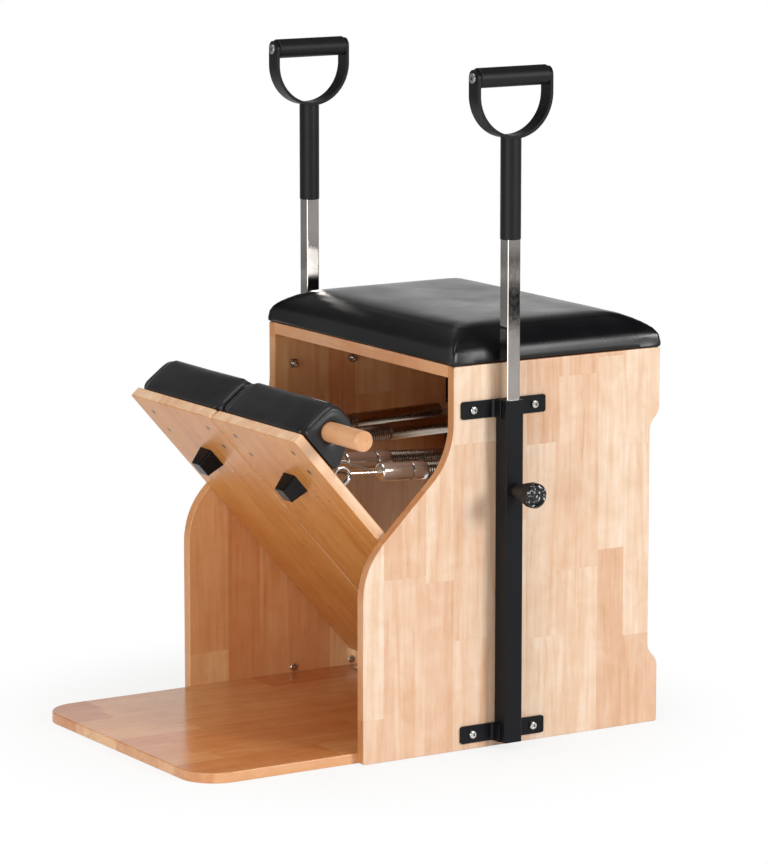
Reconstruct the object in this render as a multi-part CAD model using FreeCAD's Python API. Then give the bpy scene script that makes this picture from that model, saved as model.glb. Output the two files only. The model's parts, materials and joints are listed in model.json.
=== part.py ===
import FreeCAD, Part
import math
import os

V = FreeCAD.Vector

# A pilates chair. Lengths are in millimetres and angles in degrees.
# X runs across, the pedals face -Y, Z is up from the floor.
# While building, Y = 0 is the front edge of the side panels at the floor.

# Wooden frame
frame_width = 528.0
panel_height = 570.0
panel_depth = 518.0
board = 17.0
base_thick = 15.0
platform_reach = 261.0
platform_corner = 55.0
seat_setback = 154.0
curve_top_drop = 132.2
curve_bottom_drop = 280.9
curve_radius = 116.0
foot_height = 95.0
shoulder_drop = 97.0
back_relief = 17.0
ogee_radius = 25.0
panel_corner = 3.0
edge_round = 1.6
back_board_y = 465.0
back_board_drop = 270.0
overrun = 5.0
least_edge = 1e-6

# Seat cushion
cushion_crown = 55.0
cushion_draw = 7.0
cushion_margin = 1.0
cushion_corner = 8.0
cushion_height_shares = (0.0, 0.165, 0.42, 0.655, 0.873, 0.973, 1.0)
cushion_inset_shares = (0.3, 0.1, 0.0, 1.3, 4.3, 8.6, 20.0)

# Posts, brackets and their bolts
plate = 3.0
sleeve_width = 30.0
sleeve_wall = 2.5
sleeve_corner = 3.0
sleeve_bottom = 10.0
sleeve_drop = 52.0
post_y = 238.3
bracket_length = 146.0
bracket_height = 26.0
bracket_corner = 4.0
cheek_reach = 18.0
bend_radius = 3.0
bolt_spread = 106.0
bolt_radius = 4.0
bolt_head_radius = 6.0
bolt_head_height = 4.4
socket_width = 5.0
socket_depth = 2.4
hex_sides = 6
nut_width = 13.0
nut_height = 6.5
nut_dome = 5.0
bolt_tip = 5.0
low_nut_radius = 6.2
low_nut_height = 3.2
low_nut_round = 1.4
low_bolt_tip = 1.6
bolt_clearance = 0.2
thread_fit = 0.05

# Clamp knob
knob_drop = 131.0
boss_radius = 11.0
boss_height = 6.0
stem_radius = 4.0
stem_clearance = 0.3
knob_gap = 0.5
knob_neck_radius = 10.0
knob_radius = 18.5
knob_length = 51.0
knob_flare_share = 0.74
knob_neck_share = 0.06
knob_edge = 2.5
dish_share = 0.74
dish_depth = 1.8

# Handles
tube_width = 22.0
tube_wall = 1.5
tube_corner = 2.0
tube_insert = 250.0
tube_clearance = 0.3
bush_depth = 40.0
bush_flange = 0.8
grip_radius = 15.2
grip_rise = 234.5
grip_length = 146.0
grip_socket = 60.0
grip_round = 1.5
bow_width = 129.0
strap_width = 25.0
strap_thick = 5.0
bow_leg = 24.5
bar_radius = 14.6
bar_end_gap = 0.4
bar_round = 1.6
axle_radius = 5.0
axle_fit = 0.08
axle_head_radius = 7.6
axle_head_height = 3.6

# Pedals
pivot_y = 307.0
pivot_z = 30.0
pedal_length = 608.0
pedal_angle = 48.6
pedal_split = 6.0
pedal_side_gap = 4.0
pedal_heel = 22.0
pedal_corner = 4.0
pad_depth = 86.0
pad_height = 68.0
pad_front_lean = 7.0
pad_back_lean = 24.0
pad_base_rise = 6.0
pad_round = 15.0
pad_back_round = 20.0
pad_base_round = 5.0
pad_crown = 2.5
bumper_place = 110.0
bumper_base = 34.0
bumper_top = 25.0
bumper_height = 28.0
bumper_round = 3.0
screw_spread_share = 0.69
screw_rows = (30.0, 70.0)
screw_head_radius = 5.2
screw_radius = 2.4
screw_length = 30.0
screw_cross = 5.0
screw_slot = 1.2

# Pedal hinges
leaf_share = 0.75
leaf_depth = 64.0
ear_thick = 4.0
ear_radius = 9.0
pin_radius = 4.0
pin_fit = 0.06
pin_head_radius = 6.0
pin_head = 2.0
barrel_gap = 0.5
pedal_leaf_depth = 84.0

# Dowel
dowel_radius = 15.0
dowel_along = 33.0
dowel_rise = 35.0
dowel_overhang = 90.0
dowel_inset = 10.0
dowel_clearance = 0.3
dowel_chamfer = 1.5

# Springs, spring eyes and racks
spring_spread_share = 0.4165
eye_place = 135.0
eye_rise = 33.0
eye_rod_radius = 3.0
eye_width = 34.0
eye_bend = 9.0
rung_radius = 4.0
rung_y = 450.0
rung_drop = 213.0
rung_spacing = 32.0
rung_count = 4
left_rung = 2
right_rung = 1
rack_share = 0.625
rack_margin = 17.0
rack_corner = 8.0
rack_flange = 24.0
rack_reach = 27.0
rack_screw_radius = 2.2
rack_screw_head_radius = 4.5
rack_screw_head = 2.6
rack_screw_length = 14.0
rack_screw_spread = 90.0
wire_radius = 2.25
hook_clearance = 0.5
hook_sweep = 265.0
loop_radius = 10.5
loop_ahead = 5.5
loop_drop = 3.3
cap_radius = 13.5
cap_round = 4.0
rear_cap_start = 20.0
rear_cap_length = 26.0
front_cap_length = 52.0
loop_neck = 50.0
tie_ahead = 5.0
coil_gap = 0.35
coil_wire_radius = 1.6
coil_turns = 25
points_per_curl = 24

inner_half = frame_width / 2 - board
panel_face = frame_width / 2
curve_top = panel_height - curve_top_drop
curve_bottom = panel_height - curve_bottom_drop
shoulder_height = panel_height - shoulder_drop
back_board_low = panel_height - back_board_drop
sleeve_top = panel_height - sleeve_drop
knob_height = sleeve_top - knob_drop
grip_bottom = sleeve_top + grip_rise
rung_low = panel_height - rung_drop
upper_bolt_z = sleeve_top - bracket_height / 2
lower_bolt_z = sleeve_bottom + bracket_height / 2
pedal_width = inner_half - pedal_split / 2 - pedal_side_gap
screw_spread = pedal_width * screw_spread_share
leaf_length = pedal_width * leaf_share
spring_spread = pedal_width * spring_spread_share
rack_width = pedal_width * rack_share
post_x = panel_face + plate + sleeve_width / 2
sleeve_face = post_x + sleeve_width / 2
pedal_middle = pedal_split / 2 + pedal_width / 2
bow_radius = bow_width / 2
bow_centre = grip_bottom + grip_length + bow_radius
bar_z = bow_centre + bow_leg
ACROSS = V(1, 0, 0)
ALONG = V(0, 1, 0)
UP = V(0, 0, 1)


def rounded_wire(points, radii):
    """A closed wire through the points with an arc of the given radius at each corner."""
    starts, middles, ends = [], [], []
    for here_index, here in enumerate(points):
        radius = radii[here_index]
        back = (points[here_index - 1] - here).normalize()
        on = (points[(here_index + 1) % len(points)] - here).normalize()
        half_angle = back.getAngle(on) / 2
        middle_way = (back + on).normalize()
        reach = radius / math.tan(half_angle)
        starts.append(here + back * reach)
        ends.append(here + on * reach)
        middles.append(here + middle_way * (radius / math.sin(half_angle) - radius))
    edges = []
    for index in range(len(points)):
        if radii[index] > 0:
            edges.append(Part.Arc(starts[index], middles[index], ends[index]).toShape())
        following = starts[(index + 1) % len(points)]
        if (following - ends[index]).Length > least_edge:
            edges.append(Part.makeLine(ends[index], following))
    return Part.Wire(edges)


def prism(points, radii, way):
    """The outline with rounded corners, drawn out along a vector."""
    return Part.Face(rounded_wire(points, radii)).extrude(way)


def block(low, high):
    """A box between two opposite corners."""
    size = high - low
    return Part.makeBox(size.x, size.y, size.z, low)


def rod(radius, start, end):
    """A round bar between two points."""
    return Part.makeCylinder(radius, (end - start).Length, start, end - start)


def square_bar(width, corner, low, high):
    """An upright square bar on the post's axis."""
    half = width / 2
    spots = ((-half, -half), (half, -half), (half, half), (-half, half))
    points = [V(post_x + x, post_y + y, low) for x, y in spots]
    return prism(points, [corner] * len(points), UP * (high - low))


def turned(profile, origin, axis):
    """A profile of (distance along, radius) pairs turned round an axis."""
    side = UP if axis.cross(UP).Length > 0 else ACROSS
    points = [origin + axis * along + side * radius for along, radius in profile]
    return Part.Face(Part.makePolygon(points + points[:1])).revolve(origin, axis, 360)


def fuse_all(shapes):
    """Several touching shapes joined to one."""
    return shapes[0].multiFuse(shapes[1:]).removeSplitter()


def mirrored(shape):
    """The same piece for the other side."""
    return shape.mirror(V(0, 0, 0), ACROSS)


def sketch_yz(x, pairs):
    """Points in the plane across X from (y, z) pairs."""
    return [V(x, y, z) for y, z in pairs]


def bolt_places():
    """The bracket bolts as (tip, y, z). Each tip ends inside its nut."""
    tips = ((inner_half - bolt_tip, upper_bolt_z), (inner_half - low_bolt_tip, lower_bolt_z))
    return [(tip, post_y + way * bolt_spread / 2, z) for tip, z in tips for way in (-1, 1)]


def side_panel():
    """The right side panel: S-shaped front, relieved back edge, bolt holes."""
    inner_back = panel_depth - back_relief
    pairs = [(0, 0), (panel_depth, 0), (panel_depth, foot_height), (inner_back, foot_height + back_relief),
             (inner_back, shoulder_height - back_relief), (panel_depth, shoulder_height),
             (panel_depth, panel_height), (seat_setback, panel_height),
             (seat_setback, curve_top), (0, curve_bottom)]
    radii = [panel_corner, panel_corner, ogee_radius, ogee_radius, ogee_radius, ogee_radius,
             panel_corner, panel_corner, curve_radius, curve_radius]
    panel = prism(sketch_yz(inner_half, pairs), radii, ACROSS * board)
    rims = [edge for face in panel.Faces if face.BoundBox.XLength < edge_round for edge in face.Edges]
    panel = panel.makeFillet(edge_round, rims)
    for tip, y, z in bolt_places():
        start, end = V(tip - bolt_clearance, y, z), V(panel_face + overrun, y, z)
        panel = panel.cut(rod(bolt_radius + bolt_clearance, start, end))
    return panel


def seat_board():
    """The board under the cushion, between the panels."""
    low = V(-inner_half, seat_setback, panel_height - board)
    return block(low, V(inner_half, panel_depth, panel_height))


def base_board():
    """The floor board with two rounded front corners."""
    front = -platform_reach
    points = [V(-inner_half, front, 0), V(inner_half, front, 0),
              V(inner_half, panel_depth, 0), V(-inner_half, panel_depth, 0)]
    radii = [platform_corner, platform_corner, panel_corner, panel_corner]
    slab = prism(points, radii, UP * base_thick)
    rims = [edge for edge in slab.Edges if edge.BoundBox.YMax < 0 and edge.BoundBox.ZMin > base_thick / 2]
    return slab.makeFillet(edge_round, rims)


def back_board():
    """The upright board that carries the spring racks."""
    return block(V(-inner_half, back_board_y, back_board_low),
                 V(inner_half, back_board_y + board, panel_height - board))


def seat_cushion():
    """A crowned cushion, drawn in where it meets the board."""
    sections = []
    for height_share, inset_share in zip(cushion_height_shares, cushion_inset_shares):
        inset = inset_share * cushion_draw
        z = panel_height + height_share * cushion_crown
        x = panel_face - cushion_margin - inset
        near, far = seat_setback + cushion_margin + inset, panel_depth - cushion_margin - inset
        points = [V(-x, near, z), V(x, near, z), V(x, far, z), V(-x, far, z)]
        sections.append(rounded_wire(points, [cushion_corner] * len(points)))
    return Part.makeLoft(sections, True, False)


def post_sleeve():
    """The outer square tube with the welded boss for the clamp screw."""
    outer = square_bar(sleeve_width, sleeve_corner, sleeve_bottom, sleeve_top)
    bore = square_bar(sleeve_width - 2 * sleeve_wall, sleeve_corner - sleeve_wall / 2,
                      sleeve_bottom - overrun, sleeve_top + overrun)
    face = V(sleeve_face, post_y, knob_height)
    boss = rod(boss_radius, face, face + ACROSS * boss_height)
    hole = rod(stem_radius + bolt_clearance, V(post_x, post_y, knob_height),
               face + ACROSS * (boss_height + overrun))
    return outer.fuse(boss).removeSplitter().cut(bore).cut(hole)


def bracket(bottom):
    """A flat plate on the panel with two cheeks that hold the sleeve."""
    half = bracket_length / 2
    top = bottom + bracket_height
    pairs = [(post_y - half, bottom), (post_y + half, bottom), (post_y + half, top), (post_y - half, top)]
    solid = prism(sketch_yz(panel_face, pairs), [bracket_corner] * len(pairs), ACROSS * plate)
    front = panel_face + plate
    for way in (-1, 1):
        near = post_y + way * sleeve_width / 2
        far = near + way * plate
        foot = far + way * bend_radius
        tip = front + cheek_reach
        outline = [V(front, near, bottom), V(tip, near, bottom), V(tip, far, bottom),
                   V(front + bend_radius, far, bottom), V(front, foot, bottom)]
        cheek = prism(outline, [0, 0, bend_radius / 2, bend_radius, 0], UP * bracket_height)
        solid = solid.fuse(cheek)
    solid = solid.removeSplitter()
    for way in (-1, 1):
        spot = V(panel_face - overrun, post_y + way * bolt_spread / 2, bottom + bracket_height / 2)
        solid = solid.cut(rod(bolt_radius + bolt_clearance, spot, spot + ACROSS * (plate + 2 * overrun)))
    return solid


def hexagon(width, centre, way):
    """A six-sided prism along X, measured across its flats."""
    sixth = 2 * math.pi / hex_sides
    radius = width / 2 / math.cos(sixth / 2)
    turns = [step * sixth for step in range(hex_sides)]
    points = [centre + V(0, radius * math.cos(turn), radius * math.sin(turn)) for turn in turns]
    return prism(points, [0] * len(points), way)


def bracket_bolts():
    """Four button-head bolts through the brackets into the panel."""
    bolts = []
    seat = panel_face + plate
    for tip, y, z in bolt_places():
        start = V(seat, y, z)
        mouth = start + ACROSS * bolt_head_height
        head = rod(bolt_head_radius, start, mouth)
        rim = [edge for edge in head.Edges if edge.BoundBox.XMin > seat + bolt_head_height / 2]
        head = head.makeFillet(bolt_head_height / 2, rim)
        socket = hexagon(socket_width, mouth - ACROSS * socket_depth, ACROSS * (socket_depth + overrun))
        shank = rod(bolt_radius, V(tip, y, z), start)
        bolts.append(head.cut(socket).fuse(shank).removeSplitter())
    return Part.makeCompound(bolts)


def dome_nut(y, z):
    """A dome nut on the panel's inner face."""
    body = hexagon(nut_width, V(inner_half, y, z), ACROSS * -nut_height)
    dome = Part.makeSphere(nut_dome, V(inner_half - nut_height, y, z))
    return body.fuse(dome).removeSplitter()


def low_nut(y, z):
    """A low round nut on the panel's inner face, which the pedal clears."""
    body = rod(low_nut_radius, V(inner_half, y, z), V(inner_half - low_nut_height, y, z))
    middle = inner_half - low_nut_height / 2
    rim = [edge for edge in body.Edges if edge.Closed and edge.BoundBox.XMax < middle]
    return body.makeFillet(low_nut_round, rim)


def bracket_nuts():
    """The nuts of the bracket bolts: dome nuts above, low ones beside the pedal."""
    nuts = []
    for tip, y, z in bolt_places():
        body = dome_nut(y, z) if z == upper_bolt_z else low_nut(y, z)
        bore = rod(bolt_radius + thread_fit, V(tip - thread_fit, y, z), V(inner_half + overrun, y, z))
        nuts.append(body.cut(bore))
    return Part.makeCompound(nuts)


def sleeve_bush():
    """A plastic guide in the sleeve's mouth."""
    body = square_bar(sleeve_width - 2 * sleeve_wall, sleeve_corner - sleeve_wall / 2,
                      sleeve_top - bush_depth, sleeve_top)
    flange = square_bar(sleeve_width, sleeve_corner, sleeve_top, sleeve_top + bush_flange)
    bore = square_bar(tube_width + 2 * tube_clearance, tube_corner,
                      sleeve_top - bush_depth - overrun, sleeve_top + bush_flange + overrun)
    return body.fuse(flange).removeSplitter().cut(bore)


def clamp_knob():
    """A turned knob with its clamp stem, which stops just short of the tube."""
    start = post_x + tube_width / 2 + stem_clearance
    base = sleeve_face + boss_height + knob_gap - start
    tip = base + knob_length
    neck = base + knob_length * knob_neck_share
    flare = base + knob_length * knob_flare_share
    dish = knob_radius * dish_share
    profile = [(0, 0), (0, stem_radius), (base, stem_radius), (base, knob_neck_radius),
               (neck, knob_neck_radius), (flare, knob_radius), (tip - knob_edge, knob_radius),
               (tip, knob_radius - knob_edge), (tip, dish), (tip - dish_depth, dish - dish_depth),
               (tip - dish_depth, 0)]
    knob = turned(profile, V(start, post_y, knob_height), ACROSS)
    rims = [edge for edge in knob.Edges if edge.Closed and edge.BoundBox.ZLength > 2 * dish]
    soft = [edge for edge in rims if edge.BoundBox.XMax < start + tip - knob_gap]
    return knob.makeFillet(knob_edge, soft)


def handle_tube():
    """The chrome square tube."""
    low, high = sleeve_top - tube_insert, grip_bottom + grip_socket
    outer = square_bar(tube_width, tube_corner, low, high)
    inner = square_bar(tube_width - 2 * tube_wall, tube_corner - tube_wall, low - overrun, high + overrun)
    return outer.cut(inner)


def tube_grip():
    """The round grip, with a square socket below and a saddle for the bow above."""
    top = grip_bottom + grip_length
    bar = rod(grip_radius, V(post_x, post_y, grip_bottom), V(post_x, post_y, top + strap_thick))
    bar = bar.makeFillet(grip_round, [edge for edge in bar.Edges if edge.BoundBox.ZMax < top])
    socket = square_bar(tube_width, tube_corner, grip_bottom - overrun, grip_bottom + grip_socket)
    middle = V(post_x, post_y, bow_centre)
    saddle = rod(bow_radius, middle - ACROSS * sleeve_width, middle + ACROSS * sleeve_width)
    return bar.cut(socket).cut(saddle)


def axle_bore(fit):
    """A hole for the hand bar's axle, right across the bow."""
    middle = V(post_x, post_y, bar_z)
    return rod(axle_radius + fit, middle - ALONG * bow_width, middle + ALONG * bow_width)


def handle_bow():
    """A flat strap bent to a half circle, with two eyes for the bar's axle."""
    half = strap_width / 2
    low = V(post_x - half, post_y, bow_centre)
    high = V(post_x + half, post_y, bow_centre)
    hollow = rod(bow_radius - strap_thick, low - ACROSS * overrun, high + ACROSS * overrun)
    ring = rod(bow_radius, low, high).cut(hollow)
    lower = block(V(post_x - strap_width, post_y - bow_width, bow_centre - bow_width),
                  V(post_x + strap_width, post_y + bow_width, bow_centre))
    pieces = [ring.common(lower)]
    for way in (-1, 1):
        outer = post_y + way * bow_radius
        inner = outer - way * strap_thick
        near, far = min(outer, inner), max(outer, inner)
        leg = block(V(post_x - half, near, bow_centre), V(post_x + half, far, bar_z))
        eye = rod(half, V(post_x, inner, bar_z), V(post_x, outer, bar_z))
        pieces += [leg, eye]
    return fuse_all(pieces).cut(axle_bore(thread_fit))


def bar_grip():
    """The round hand bar that turns on its axle."""
    half = bow_radius - strap_thick - bar_end_gap
    bar = rod(bar_radius, V(post_x, post_y - half, bar_z), V(post_x, post_y + half, bar_z))
    bar = bar.makeFillet(bar_round, [edge for edge in bar.Edges if edge.Closed])
    return bar.cut(axle_bore(axle_fit))


def bar_axle():
    """The bolt through the bow and the bar, with a head at each end."""
    half = bow_radius
    axle = rod(axle_radius, V(post_x, post_y - half, bar_z), V(post_x, post_y + half, bar_z))
    for way in (-1, 1):
        seat = V(post_x, post_y + way * half, bar_z)
        tip = seat + ALONG * (way * axle_head_height)
        head = rod(axle_head_radius, seat, tip)
        outer = [edge for edge in head.Edges if abs(edge.CenterOfMass.y - tip.y) < thread_fit and edge.Closed]
        head = head.makeFillet(axle_head_height / 2, outer)
        recess = hexagon(socket_width, V(0, 0, 0), ACROSS * (2 * socket_depth))
        recess.rotate(V(0, 0, 0), UP, 90)
        recess.translate(tip - ALONG * socket_depth)
        axle = axle.fuse(head.cut(recess))
    return axle.removeSplitter()


def set_at_rest(shape):
    """Turn a piece drawn on a level pedal, pivot at the origin, to the rest angle at its pivot."""
    shape.rotate(V(0, 0, 0), ACROSS, -pedal_angle)
    shape.translate(V(0, pivot_y, pivot_z))
    return shape


def from_end(place):
    """Y of a point on the level pedal, measured back from the free end."""
    return place - pedal_length


def pedal_sides():
    """X of the right pedal's inner and outer edges."""
    return pedal_split / 2, pedal_split / 2 + pedal_width


def screw_starts():
    """Where the pad's screws enter the front face of the level pedal."""
    return [V(pedal_middle + way * screw_spread / 2, from_end(place), -board / 2)
            for place in screw_rows for way in (-1, 1)]


def pedal_screw(start):
    """A countersunk screw that holds the pad, before its cross is cut."""
    sink = screw_head_radius - screw_radius
    profile = [(0, 0), (0, screw_head_radius), (sink, screw_radius), (screw_length, screw_radius),
               (screw_length + screw_radius, 0)]
    return turned(profile, start, UP)


def cross_recess(start):
    """The cross in a screw's head."""
    half, side = screw_cross / 2, screw_slot / 2
    bars = [block(V(-half, -side, -overrun), V(half, side, screw_slot)),
            block(V(-side, -half, -overrun), V(side, half, screw_slot))]
    recess = fuse_all(bars)
    recess.translate(start)
    return recess


def spring_eyes():
    """Two U-shaped rods through the level pedal for the spring hooks."""
    eyes = []
    for way in (-1, 1):
        x, y = pedal_middle + way * spring_spread / 2, from_end(eye_place)
        left, right = x - eye_width / 2, x + eye_width / 2
        low, high = -board / 2, board / 2 + eye_rise
        neck = high - eye_bend
        bend = eye_bend / math.sqrt(2)
        first = (V(left, y, neck), V(left + eye_bend - bend, y, neck + bend), V(left + eye_bend, y, high))
        last = (V(right - eye_bend, y, high), V(right - eye_bend + bend, y, neck + bend), V(right, y, neck))
        path = Part.Wire([Part.makeLine(V(left, y, low), first[0]), Part.Arc(*first).toShape(),
                          Part.makeLine(first[-1], last[0]), Part.Arc(*last).toShape(),
                          Part.makeLine(last[-1], V(right, y, low))])
        ring = Part.Wire(Part.makeCircle(eye_rod_radius, V(left, y, low), UP))
        eyes.append(path.makePipeShell([ring], True, False))
    return eyes


def dowel_axis(x):
    """A point on the dowel's axis in the level pedal."""
    return V(x, from_end(dowel_along), board / 2 + dowel_rise)


def pedal_pad(bore_start, bore_end):
    """The upholstered block on the pedal's free end, with the dowel's bore."""
    inner, outer = pedal_sides()
    base, top = board / 2, board / 2 + pad_height
    pairs = [(0, base), (pad_front_lean / 2, base + pad_height / 2), (pad_front_lean, top - pad_crown),
             (pad_depth / 2 - pad_front_lean, top), (pad_depth - pad_back_lean, top - pad_crown),
             (pad_depth - pad_back_lean / 2 + pad_crown, base + pad_height / 2),
             (pad_depth, base + pad_base_rise), (pad_depth - pad_base_rise, base)]
    radii = [pad_base_round / 2, pad_height / 2, pad_round, pad_height,
             pad_back_round, pad_height, pad_base_round, pad_base_round / 2]
    points = [V(inner, from_end(place), z) for place, z in pairs]
    pad = prism(points, radii, ACROSS * (outer - inner))
    return pad.cut(rod(dowel_radius + dowel_clearance, dowel_axis(bore_start), dowel_axis(bore_end)))


def pedal_board(holders):
    """The pedal's board, with holes for its screws and spring eyes."""
    inner, outer = pedal_sides()
    low = -board / 2
    points = [V(inner, from_end(0), low), V(outer, from_end(0), low),
              V(outer, -pedal_heel, low), V(inner, -pedal_heel, low)]
    radii = [pedal_corner] * len(points)
    slab = prism(points, radii, UP * board)
    rims = [edge for edge in slab.Edges if edge.BoundBox.ZLength < edge_round]
    slab = slab.makeFillet(edge_round, rims)
    for holder in holders:
        slab = slab.cut(holder)
    return slab


def pedal_bumper():
    """A square tapered rubber stop under the level pedal."""
    low, high = -board / 2, -board / 2 - bumper_height
    squares = []
    for width, z in ((bumper_base, low), (bumper_top, high)):
        half = width / 2
        middle = from_end(bumper_place)
        spots = ((-half, -half), (half, -half), (half, half), (-half, half))
        points = [V(pedal_middle + x, middle + y, z) for x, y in spots]
        squares.append(rounded_wire(points, [bumper_round] * len(points)))
    stop = Part.makeLoft(squares, True, True)
    rim = [edge for edge in stop.Edges if edge.BoundBox.ZMax < high + bumper_round]
    return stop.makeFillet(bumper_round / 2, rim)


def ear_outline(x, foot):
    """A hinge ear: round at the pin, straight down to its foot."""
    corners = [(-ear_radius, foot), (ear_radius, foot), (ear_radius, ear_radius), (-ear_radius, ear_radius)]
    return rounded_wire(sketch_yz(x, corners), [0, 0, ear_radius, ear_radius])


def pin_bore(fit):
    """A hole for the hinge pin, drawn at the origin and longer than the hinge."""
    middle = V(pedal_middle, 0, 0)
    return rod(pin_radius + fit, middle - ACROSS * leaf_length, middle + ACROSS * leaf_length)


def hinge_base_leaf():
    """The hinge half on the base board: a plate with two ears."""
    foot = base_thick - pivot_z
    half = leaf_length / 2
    points = [V(pedal_middle - half, -leaf_depth / 2, foot), V(pedal_middle + half, -leaf_depth / 2, foot),
              V(pedal_middle + half, leaf_depth / 2, foot), V(pedal_middle - half, leaf_depth / 2, foot)]
    leaf = prism(points, [pedal_corner] * len(points), UP * plate)
    for x in (pedal_middle - half, pedal_middle + half - ear_thick):
        leaf = leaf.fuse(Part.Face(ear_outline(x, foot + plate / 2)).extrude(ACROSS * ear_thick))
    leaf = leaf.removeSplitter().cut(pin_bore(pin_fit / 2))
    leaf.translate(V(0, pivot_y, pivot_z))
    return leaf


def hinge_pedal_leaf():
    """The hinge half on the level pedal: a plate and the barrel round the pin."""
    half = leaf_length / 2 - ear_thick - barrel_gap
    barrel = rod(ear_radius, V(pedal_middle - half, 0, 0), V(pedal_middle + half, 0, 0))
    face = board / 2
    near, far = pedal_middle - half, pedal_middle + half
    points = [V(near, -pedal_leaf_depth, face), V(far, -pedal_leaf_depth, face),
              V(far, 0, face), V(near, 0, face)]
    sheet = prism(points, [pedal_corner, pedal_corner, 0, 0], UP * plate)
    web = block(V(near, -pedal_heel + edge_round, face - plate), V(far, 0, face))
    leaf = fuse_all([barrel, sheet, web])
    return leaf.cut(pin_bore(pin_fit))


def hinge_pin():
    """The pin through both hinge halves, headed at each end."""
    half = leaf_length / 2
    pin = turned([(-half - pin_head, 0), (-half - pin_head, pin_head_radius), (-half, pin_head_radius),
                  (-half, pin_radius), (half, pin_radius), (half, pin_head_radius),
                  (half + pin_head, pin_head_radius), (half + pin_head, 0)],
                 V(pedal_middle, pivot_y, pivot_z), ACROSS)
    return pin


def connecting_dowel():
    """The wooden rod in the right pad, drawn on the level pedal."""
    inner, outer = pedal_sides()
    bar = rod(dowel_radius, dowel_axis(inner + dowel_inset), dowel_axis(outer + dowel_overhang))
    ends = [edge for edge in bar.Edges if edge.BoundBox.XLength < dowel_chamfer]
    return bar.makeChamfer(dowel_chamfer, ends)


def rung_height(index):
    """Height of a rung of the spring racks, counted from the lowest."""
    return rung_low + index * rung_spacing


def spring_rack():
    """Two cheeks with flanges on the back board, joined by the rungs that take the spring hooks."""
    low, high = rung_height(0) - rack_margin, rung_height(rung_count - 1) + rack_margin
    front = back_board_y - rack_reach
    pieces = []
    for way in (-1, 1):
        x = pedal_middle + way * rack_width / 2
        pairs = [(front, low), (back_board_y, low), (back_board_y, high), (front, high)]
        pieces.append(prism(sketch_yz(x, pairs), [rack_corner, 0, 0, rack_corner], ACROSS * (way * plate)))
        edge = x + way * rack_flange
        spots = [V(x, back_board_y, low), V(edge, back_board_y, low),
                 V(edge, back_board_y, high), V(x, back_board_y, high)]
        pieces.append(prism(spots, [0, bracket_corner, bracket_corner, 0], ALONG * -plate))
    for index in range(rung_count):
        half = rack_width / 2 + plate / 2
        pieces.append(rod(rung_radius, V(pedal_middle - half, rung_y, rung_height(index)),
                          V(pedal_middle + half, rung_y, rung_height(index))))
    return fuse_all(pieces)


def rack_screws():
    """Pan-head screws through the rack's flanges, right side."""
    screws = []
    middle = (rung_height(0) + rung_height(rung_count - 1)) / 2
    for way in (-1, 1):
        x = pedal_middle + way * (rack_width / 2 + rack_flange / 2 + plate / 2)
        for step in (-1, 1):
            seat = V(x, back_board_y - plate, middle + step * rack_screw_spread / 2)
            crown = rack_screw_head / 2
            profile = [(-rack_screw_head, 0), (-rack_screw_head, rack_screw_head_radius - crown),
                       (-crown, rack_screw_head_radius), (0, rack_screw_head_radius),
                       (0, rack_screw_radius), (rack_screw_length, rack_screw_radius), (rack_screw_length, 0)]
            screws.append(turned(profile, seat, ALONG))
    return screws


def eye_at_rest():
    """The spring eye's bar at rest, seen from the side."""
    spot = Part.Vertex(V(0, from_end(eye_place), board / 2 + eye_rise))
    return set_at_rest(spot).Point


def spring_length(rung):
    """Distance from a rung to the pedal's eye at rest."""
    return (eye_at_rest() - V(0, rung_y, rung_height(rung))).Length


def set_spring(shape, x, rung):
    """Move a spring piece, drawn up Z from its rung, onto the line from rung to eye."""
    start = V(0, rung_y, rung_height(rung))
    line = (eye_at_rest() - start).normalize()
    shape.rotate(V(0, 0, 0), ACROSS, math.degrees(math.atan2(-line.y, line.z)))
    shape.translate(start + ACROSS * x)
    return shape


def rear_hook():
    """The hook round the rung and the cap on the coil's rear end."""
    radius = rung_radius + hook_clearance + wire_radius
    ring = Part.Face(Part.Wire(Part.makeCircle(wire_radius, UP * radius, ALONG)))
    hook = ring.revolve(V(0, 0, 0), ACROSS, -hook_sweep)
    tip = Part.makeSphere(wire_radius, UP * radius)
    tip.rotate(V(0, 0, 0), ACROSS, -hook_sweep)
    shank = rod(wire_radius, UP * radius, UP * (rear_cap_start + overrun))
    return fuse_all([hook, tip, shank, spring_cap(rear_cap_start, rear_cap_start + rear_cap_length)])


def spring_cap(blunt, flat):
    """A smooth end cap, rounded at its blunt end and flat where the coil sits."""
    cap = rod(cap_radius, UP * blunt, UP * flat)
    rim = [edge for edge in cap.Edges if abs(edge.CenterOfMass.z - blunt) < coil_gap and edge.Closed]
    return cap.makeFillet(cap_round, rim)


def front_spots(rung):
    """Where the front loop, its neck and the coil's front cap lie along the spring."""
    loop = spring_length(rung) + loop_ahead
    cap_end = loop - loop_radius - wire_radius - loop_neck
    return loop, cap_end, cap_end - front_cap_length


def front_hook(rung):
    """The closed loop round the pedal's eye and the cap on the coil's front end."""
    loop, cap_end, cap_start = front_spots(rung)
    ring = Part.makeTorus(loop_radius + wire_radius, wire_radius, V(0, -loop_drop, loop), ACROSS)
    neck_end = loop - math.sqrt((loop_radius + wire_radius) ** 2 - loop_drop ** 2)
    neck = rod(wire_radius, UP * (cap_end - overrun), UP * neck_end)
    return fuse_all([ring, neck, spring_cap(cap_end, cap_start)])


def front_tie(rung):
    """The thin bar that keeps a pedal's two front caps in step, drawn about the middle between them."""
    reach = ACROSS * (spring_spread / 2)
    middle = UP * (front_spots(rung)[1] + tie_ahead)
    return rod(wire_radius, middle - reach, middle + reach)


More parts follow.
